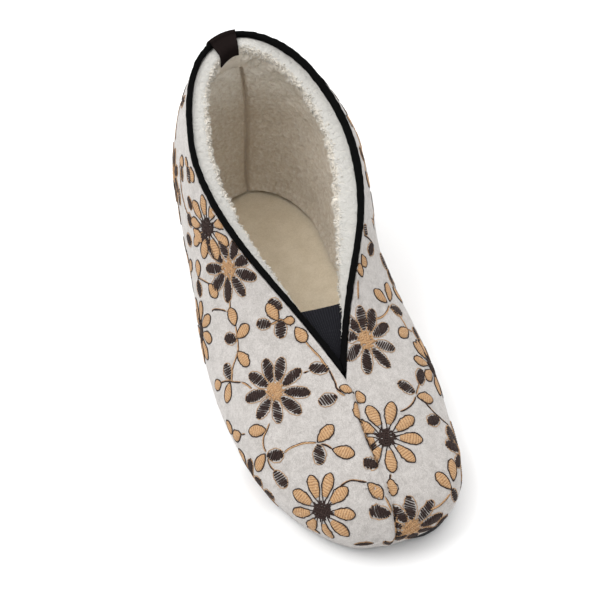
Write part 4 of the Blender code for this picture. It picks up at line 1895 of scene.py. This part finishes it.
@dataclass
class Embroidery:
    """Flowers, leaves and stalks in raised satin stitch."""

    cloth: Cloth
    petal_start: float = 0.0038
    petal_width: float = 0.0060
    petal_bend: float = 1.7
    leaf_width: float = 0.0062
    leaf_bend: float = 1.3
    short_leaf: float = 0.0085
    body_height: float = 0.00055
    root: float = 0.0002
    cord: float = 0.00030
    fine_cord: float = 0.00020
    cord_lift: float = 0.00016
    stalk: float = 0.00042
    stalk_step: float = 0.0011
    bar_pitch: float = 0.00125
    bar_overlap: float = 1.22
    slit: float = 0.44
    slit_share: float = 0.42
    heart: float = 0.0044
    ray: float = 0.0003
    seed: int = 7
    # the heart's two layers of bars: their turn, count, height and width
    heart_layers: tuple[tuple[float, int, float, float], ...] = (
        (20, 7, 1.0, 1.25),
        (100, 4, 1.5, 0.45),
    )
    uneven: float = 0.06
    stalk_uneven: float = 0.14
    laid_out: dict = field(default_factory=dict)
    dice: np.random.Generator = field(init=False)

    def __post_init__(self) -> None:
        """Sets up the dice for uneven stitches."""
        self.dice = np.random.default_rng(self.seed)

    def outline(self, share: np.ndarray, bend: float) -> np.ndarray:
        """Half the width of a motif along its length.

        Args:
            share: Shares of the length.
            bend: Where it is widest; 0 is a blunt motif.

        Returns:
            Shares of the widest.
        """
        if not bend:
            return np.maximum(0, 1 - np.abs(2 * np.clip(share, 0, 1) ** 1.12 - 1) ** 2.4) ** 0.55
        return np.sin(pi * np.clip(share, 0, 1) ** bend) ** 0.6

    def sew(self, thread: Thread, spot: Spot, angle: float, table: np.ndarray) -> None:
        """Turns a motif's points about its spot and lays them on the felt.

        Args:
            thread: Its thread.
            spot: Where its own zero lies.
            angle: Its turn in degrees.
            table: Its points across, up and out.
        """
        turn = radians(angle)
        turned = np.array(table)
        turned[..., 0] = cos(turn) * table[..., 0] - sin(turn) * table[..., 1]
        turned[..., 1] = sin(turn) * table[..., 0] + cos(turn) * table[..., 1]
        self.keep(thread, self.cloth.lay(spot, turned))

    def keep(self, thread: Thread, table: np.ndarray) -> None:
        """Puts laid points with the others of their thread and size."""
        self.laid_out.setdefault((thread, table.shape), []).append(table)

    def domed(self, ring: np.ndarray, power: float) -> np.ndarray:
        """Heights round a stitch's section: a dome above, and flat in the felt below."""
        return np.where(np.sin(ring) > 0, np.sin(ring) ** power * self.body_height, -self.root)

    def body(self, form: Motif, base: float) -> np.ndarray:
        """A domed petal of satin stitch with a blunt base, closed underneath.

        Args:
            form: Its place and size.
            base: The share of its length that the blunt base cuts off.

        Returns:
            Its points by place along it and round it.
        """
        way = (1 - np.cos(np.linspace(0, pi, 12))) / 2
        share = base + (1 - base) * way
        blunt = np.minimum(1, way / 0.02)
        turn = np.linspace(0, 2 * pi, 11)[::-1]
        half = form.width / 2 * (self.outline(share, form.bend) * blunt)[:, None]
        rise = self.domed(turn, 0.7)[None] * np.minimum(1, half / (0.35 * form.width / 2))
        x = form.start + form.length * share[:, None] + 0 * rise
        return np.stack([x, half * np.cos(turn)[None], rise], -1)[::-1]

    def edge_cord(self, form: Motif, radius: float) -> np.ndarray:
        """A cord round a petal's outline, a little uneven as stitches are.

        Args:
            form: The petal's place and size.
            radius: The cord's own.

        Returns:
            Its points by place along it and round it.
        """
        turn = np.linspace(0, 2 * pi, 31)
        share = (1 - np.cos(turn)) / 2
        loose = 1 + self.uneven * self.dice.standard_normal(len(turn))
        loose[-1] = loose[0]
        x = form.start + form.length * (share * 1.02 - 0.01)
        y = np.sign(np.sin(turn)) * form.width / 2 * self.outline(share, form.bend) * loose
        y[-1] = y[0]
        way = unit(np.stack([np.gradient(x), np.gradient(y)], -1))
        way[0] = way[-1] = (0, 1)
        ring = np.linspace(0, 2 * pi, 6)
        side = radius * np.cos(ring)[None]
        points = [
            x[:, None] + way[:, 1:2] * side,
            y[:, None] - way[:, 0:1] * side,
            self.cord_lift + radius * np.sin(ring)[None] + 0 * side * way[:, :1],
        ]
        return np.stack(points, -1)

    def bar(self, x: float, low: float, high: float, half: float, slant: float) -> np.ndarray:
        """One thick satin bar across a petal, round at its ends.

        Args:
            x: Where it crosses the petal's middle.
            low: Where it starts.
            high: Where it ends.
            half: Half its width.
            slant: How far it leans for each step across.

        Returns:
            Its points by place along it and round it.
        """
        way = np.array([0, 0.06, 0.35, 0.65, 0.94, 1])
        full = np.array([0.15, 0.8, 1, 1, 0.8, 0.15])[:, None]
        ring = np.linspace(0, 2 * pi, 8)[::-1]
        y = (low + (high - low) * way)[:, None] + 0 * ring[None]
        side = x + slant * y + half * full * np.cos(ring)[None]
        return np.stack([side, y, self.domed(ring, 0.6)[None] * full], -1)

    def bars(self, spot: Spot, angle: float, form: Motif) -> None:
        """Fills a petal with slanting dark bars, the felt showing in a few slits.

        Args:
            spot: The petal's own zero.
            angle: Its turn in degrees.
            form: Its place and size.
        """
        count = max(3, round(form.length / self.bar_pitch))
        slant = (0.38 if self.dice.random() < 0.7 else -0.35) + 0.10 * self.dice.standard_normal()
        for i in range(count):
            share = (i + 0.5) / count
            slit = self.slit if self.dice.random() < self.slit_share else 0.0
            half = form.length / count / 2 * (self.bar_overlap - slit)
            reach = form.width / 2 * max(0.4, float(self.outline(np.array(share), form.bend)))
            low, high = -reach * self.dice.uniform(0.9, 1.06), reach * self.dice.uniform(0.9, 1.06)
            bar = self.bar(form.start + form.length * share, low, high, half, slant)
            self.sew(Thread.DARK, spot, angle, bar)

    def petal(self, thread: Thread, spot: Spot, angle: float, form: Motif) -> None:
        """Sews one petal or leaf with its outline of the other thread.

        Args:
            thread: The thread that fills it.
            spot: Its own zero.
            angle: Its turn in degrees.
            form: Its place and size.
        """
        start, length, width = form.start, form.length, form.width
        if thread is Thread.TAN:
            self.sew(thread, spot, angle, self.body(form, 0.20 if start else 0.05))
            around, cord = Motif(start, length, width * 1.03, form.bend), self.cord
        else:
            blunt = 0.10 * length if start else 0.0
            self.bars(spot, angle, Motif(start + blunt, length - blunt, width * 0.92, 0))
            around = Motif(start + blunt / 2, length - blunt / 2, width * 1.06, 0)
            cord = self.fine_cord
        self.sew(thread.other, spot, angle, self.edge_cord(around, cord))

    def flower(self, row: Flower) -> None:
        """Sews a daisy: its petals, then the rays and the bars of its heart.

        Args:
            row: Its place on the chart.
        """
        spot, other, dice = self.cloth.spot(row.u, row.v), row.thread.other, self.dice
        for angle, reach in row.petals:
            width = self.petal_width * dice.uniform(0.94, 1.06)
            length = reach / PER_METRE - self.petal_start
            form = Motif(self.petal_start, length, width, self.petal_bend)
            self.petal(row.thread, spot, angle, form)
        for angle, _ in row.petals:
            ray = self.bar(0, 0.7 * self.heart, self.heart * dice.uniform(1.15, 1.5), self.ray, 0.0)
            self.sew(other, spot, angle - 90 + 14 * dice.standard_normal(), ray)
        for turn, count, lift, full in self.heart_layers:
            for i in range(count):
                x = self.heart * (2 * (i + 0.5) / count - 1)
                side = (self.heart**2 - min(abs(x), self.heart * 0.85) ** 2) ** 0.5
                low, high = -side * dice.uniform(0.85, 1.25), side * dice.uniform(0.85, 1.25)
                slant = 0.15 * dice.standard_normal()
                bar = self.bar(x, low, high, self.heart / count * full, slant)
                bar[..., 2] *= lift
                self.sew(other, spot, turn, bar)

    def leaf(self, row: Leaf) -> None:
        """Sews a leaf.

        Args:
            row: Its place on the chart.
        """
        length = row.length / PER_METRE
        width = self.leaf_width * min(1, length / self.short_leaf)
        form = Motif(0.0, length, width, self.leaf_bend)
        self.petal(row.thread, self.cloth.spot(row.u, row.v), row.angle, form)

    def vine(self, row: Vine) -> None:
        """Sews a stalk along a smooth line through its stops, with a thin thread beside it.

        Args:
            row: Its place on the chart.
        """
        stops = np.array(row.stops)
        line = Spline(stops, range(len(stops)))
        fine = line(np.linspace(0, len(stops) - 1, 16 * len(stops)))
        points = self.cloth.last.at(fine[:, 0], np.clip(fine[:, 1], 0.01, 0.999))
        run = np.concatenate([[0], np.cumsum(np.linalg.norm(np.diff(points, axis=0), axis=-1))])
        even = np.linspace(0, run[-1], max(4, round(run[-1] / self.stalk_step)))
        path = np.stack([np.interp(even, run, points[:, k]) for k in range(3)], -1)
        self.cord_along(row.thread, path, self.stalk, 0.0)
        self.cord_along(row.thread.other, path, 0.55 * self.stalk, 1.05 * self.stalk)

    def cord_along(self, thread: Thread, path: np.ndarray, radius: float, beside: float) -> None:
        """Lays one uneven thread along a path on the felt.

        Args:
            thread: Its thread.
            path: Points on the felt.
            radius: The thread's own.
            beside: How far to the path's side it lies.
        """
        found = [self.cloth.surface.find_nearest(Vector(point))[:2] for point in path]
        path, out = (np.array([list(pair[k]) for pair in found]) for k in range(2))
        side = unit(np.cross(out, unit(np.gradient(path, axis=0))))
        path = path + beside * side
        wobble = 1 + self.stalk_uneven * self.dice.standard_normal(len(path))
        wobble[0] = wobble[-1] = 0.2
        ring = np.linspace(0, 2 * pi, 7)
        turned = np.cos(ring)[None, :, None] * side[:, None]
        raised = (0.25 + 0.75 * np.sin(ring))[None, :, None] * out[:, None]
        table = path[:, None] + (radius * wobble)[:, None, None] * (turned + raised)
        self.keep(thread, table[:, ::-1])

    def build(self) -> list[bpy.types.Object]:
        """Sews everything on the chart.

        Returns:
            An object for each thread.
        """
        for chart, stitch in ((FLOWERS, self.flower), (LEAVES, self.leaf), (VINES, self.vine)):
            for row in chart:
                stitch(row)
        made = []
        for thread in Thread:
            mesh = bmesh.new()
            for (kind, _), tables in self.laid_out.items():
                if kind is thread:
                    laid(np.concatenate(tables), (0.012, 0.010), onto=mesh, strips=len(tables))
            mesh = closed(welded(mesh, cap=True))
            finish = ThreadFinish.of(thread)
            made.append(piece(f"{thread.value}_embroidery", mesh, finish))
        return made


# The studio


@dataclass
class Studio:
    """Camera, floor and soft light."""

    eye: tuple[float, float, float] = (-0.1179, -0.4937, 0.6502)
    view_turn: float = 20.565
    view_drop: float = 48.85
    aim: tuple[float, float, float] = (0.0, 0.002, 0.045)
    lens: float = 92
    sensor: float = 36
    floor_size: float = 6.0
    from_above: float = 1.16
    from_behind: float = 0.46
    all_round: float = 0.40
    # name, place, side and power of each lamp
    lamps: tuple[tuple[str, tuple[float, float, float], float, float], ...] = (
        ("key_lamp", (-0.8, 0.1, 1.5), 0.8, 9),
        ("fill_lamp", (0.9, 0.5, 1.4), 1.3, 1.0),
    )

    def camera(self) -> None:
        """Sets the camera at the viewing angle, turned by the least from level to face the shoe."""
        turn, drop = radians(-self.view_turn), radians(self.view_drop)
        spin = Matrix.Rotation(turn, 3, "Z")
        ahead = spin @ Vector((0, cos(drop), -sin(drop)))
        up = spin @ Vector((0, sin(drop), cos(drop)))
        stance = Matrix((ahead.cross(up), up, -ahead)).transposed()
        wanted = (Vector(self.aim) - Vector(self.eye)).normalized()
        stance = ahead.rotation_difference(wanted).to_matrix() @ stance
        made = bpy.data.objects.new("camera", bpy.data.cameras.new("camera"))
        bpy.context.scene.collection.objects.link(made)
        made.matrix_world = Matrix.Translation(self.eye) @ stance.to_4x4()
        made.data.sensor_width = self.sensor
        made.data.lens = self.lens
        made.data.clip_start = 0.01
        bpy.context.scene.camera = made

    def floor(self) -> None:
        """Lays the floor."""
        mesh = bmesh.new()
        bmesh.ops.create_grid(mesh, x_segments=4, y_segments=4, size=self.floor_size / 2)
        data = bpy.data.meshes.new("floor")
        mesh.to_mesh(data)
        mesh.free()
        data.materials.append(FloorFinish().material())
        made = bpy.data.objects.new("floor", data)
        bpy.context.scene.collection.objects.link(made)

    def lamp(self, name: str, place: tuple, size: float, power: float) -> None:
        """Hangs a soft square lamp that faces the shoe.

        Args:
            name: The lamp's name.
            place: Where it hangs.
            size: The length of its side.
            power: Its power in watts.
        """
        made = bpy.data.objects.new(name, bpy.data.lights.new(name, "AREA"))
        made.data.shape = "SQUARE"
        made.data.size = size
        made.data.energy = power
        made.location = place
        made.rotation_euler = (-Vector(place)).to_track_quat("-Z", "Y").to_euler()
        bpy.context.scene.collection.objects.link(made)

    def light(self) -> None:
        """Lights a room that looks white and shines most from above, with two soft lamps."""
        world = bpy.data.worlds.new("studio_room")
        bpy.context.scene.world = world
        world.use_nodes = True
        tree = world.node_tree
        way = tree.nodes.new("ShaderNodeTexCoord").outputs["Generated"]
        parts = tree.nodes.new("ShaderNodeSeparateXYZ")
        tree.links.new(way, parts.inputs[0])
        back, up = (Signal(tree, parts.outputs[name]) for name in ("Y", "Z"))
        bright = up.between(0.0, 0.9) * self.from_above + back * self.from_behind + self.all_round
        seen = Signal(tree, tree.nodes.new("ShaderNodeLightPath").outputs["Is Camera Ray"])
        bright = bright * (1 - seen) + seen
        tree.links.new(bright.socket, tree.nodes["Background"].inputs["Strength"])
        tree.nodes["Background"].inputs["Color"].default_value = (1, 1, 1, 1)
        for lamp in self.lamps:
            self.lamp(*lamp)
        bpy.context.scene.view_settings.view_transform = "Standard"


def main() -> None:
    """Builds the studio and the slipper, piece by piece."""
    logging.basicConfig(level=logging.INFO, format="%(message)s")
    studio = Studio()
    studio.camera()
    studio.floor()
    studio.light()
    last = Last()
    upper = FeltUpper(last)
    upper.build()
    Embroidery(Cloth(last, upper.surface)).build()
    CollarBinding(last).build()
    lining = FleeceLining(last)
    lining.build_rim()
    lining.build_tufts()
    lining.build_pile()
    Gusset(last).build()
    PullTab(last).build()
    soles = Soles(last)
    soles.build_outsole()
    soles.build_insole()


if __name__ == "__main__":
    main()
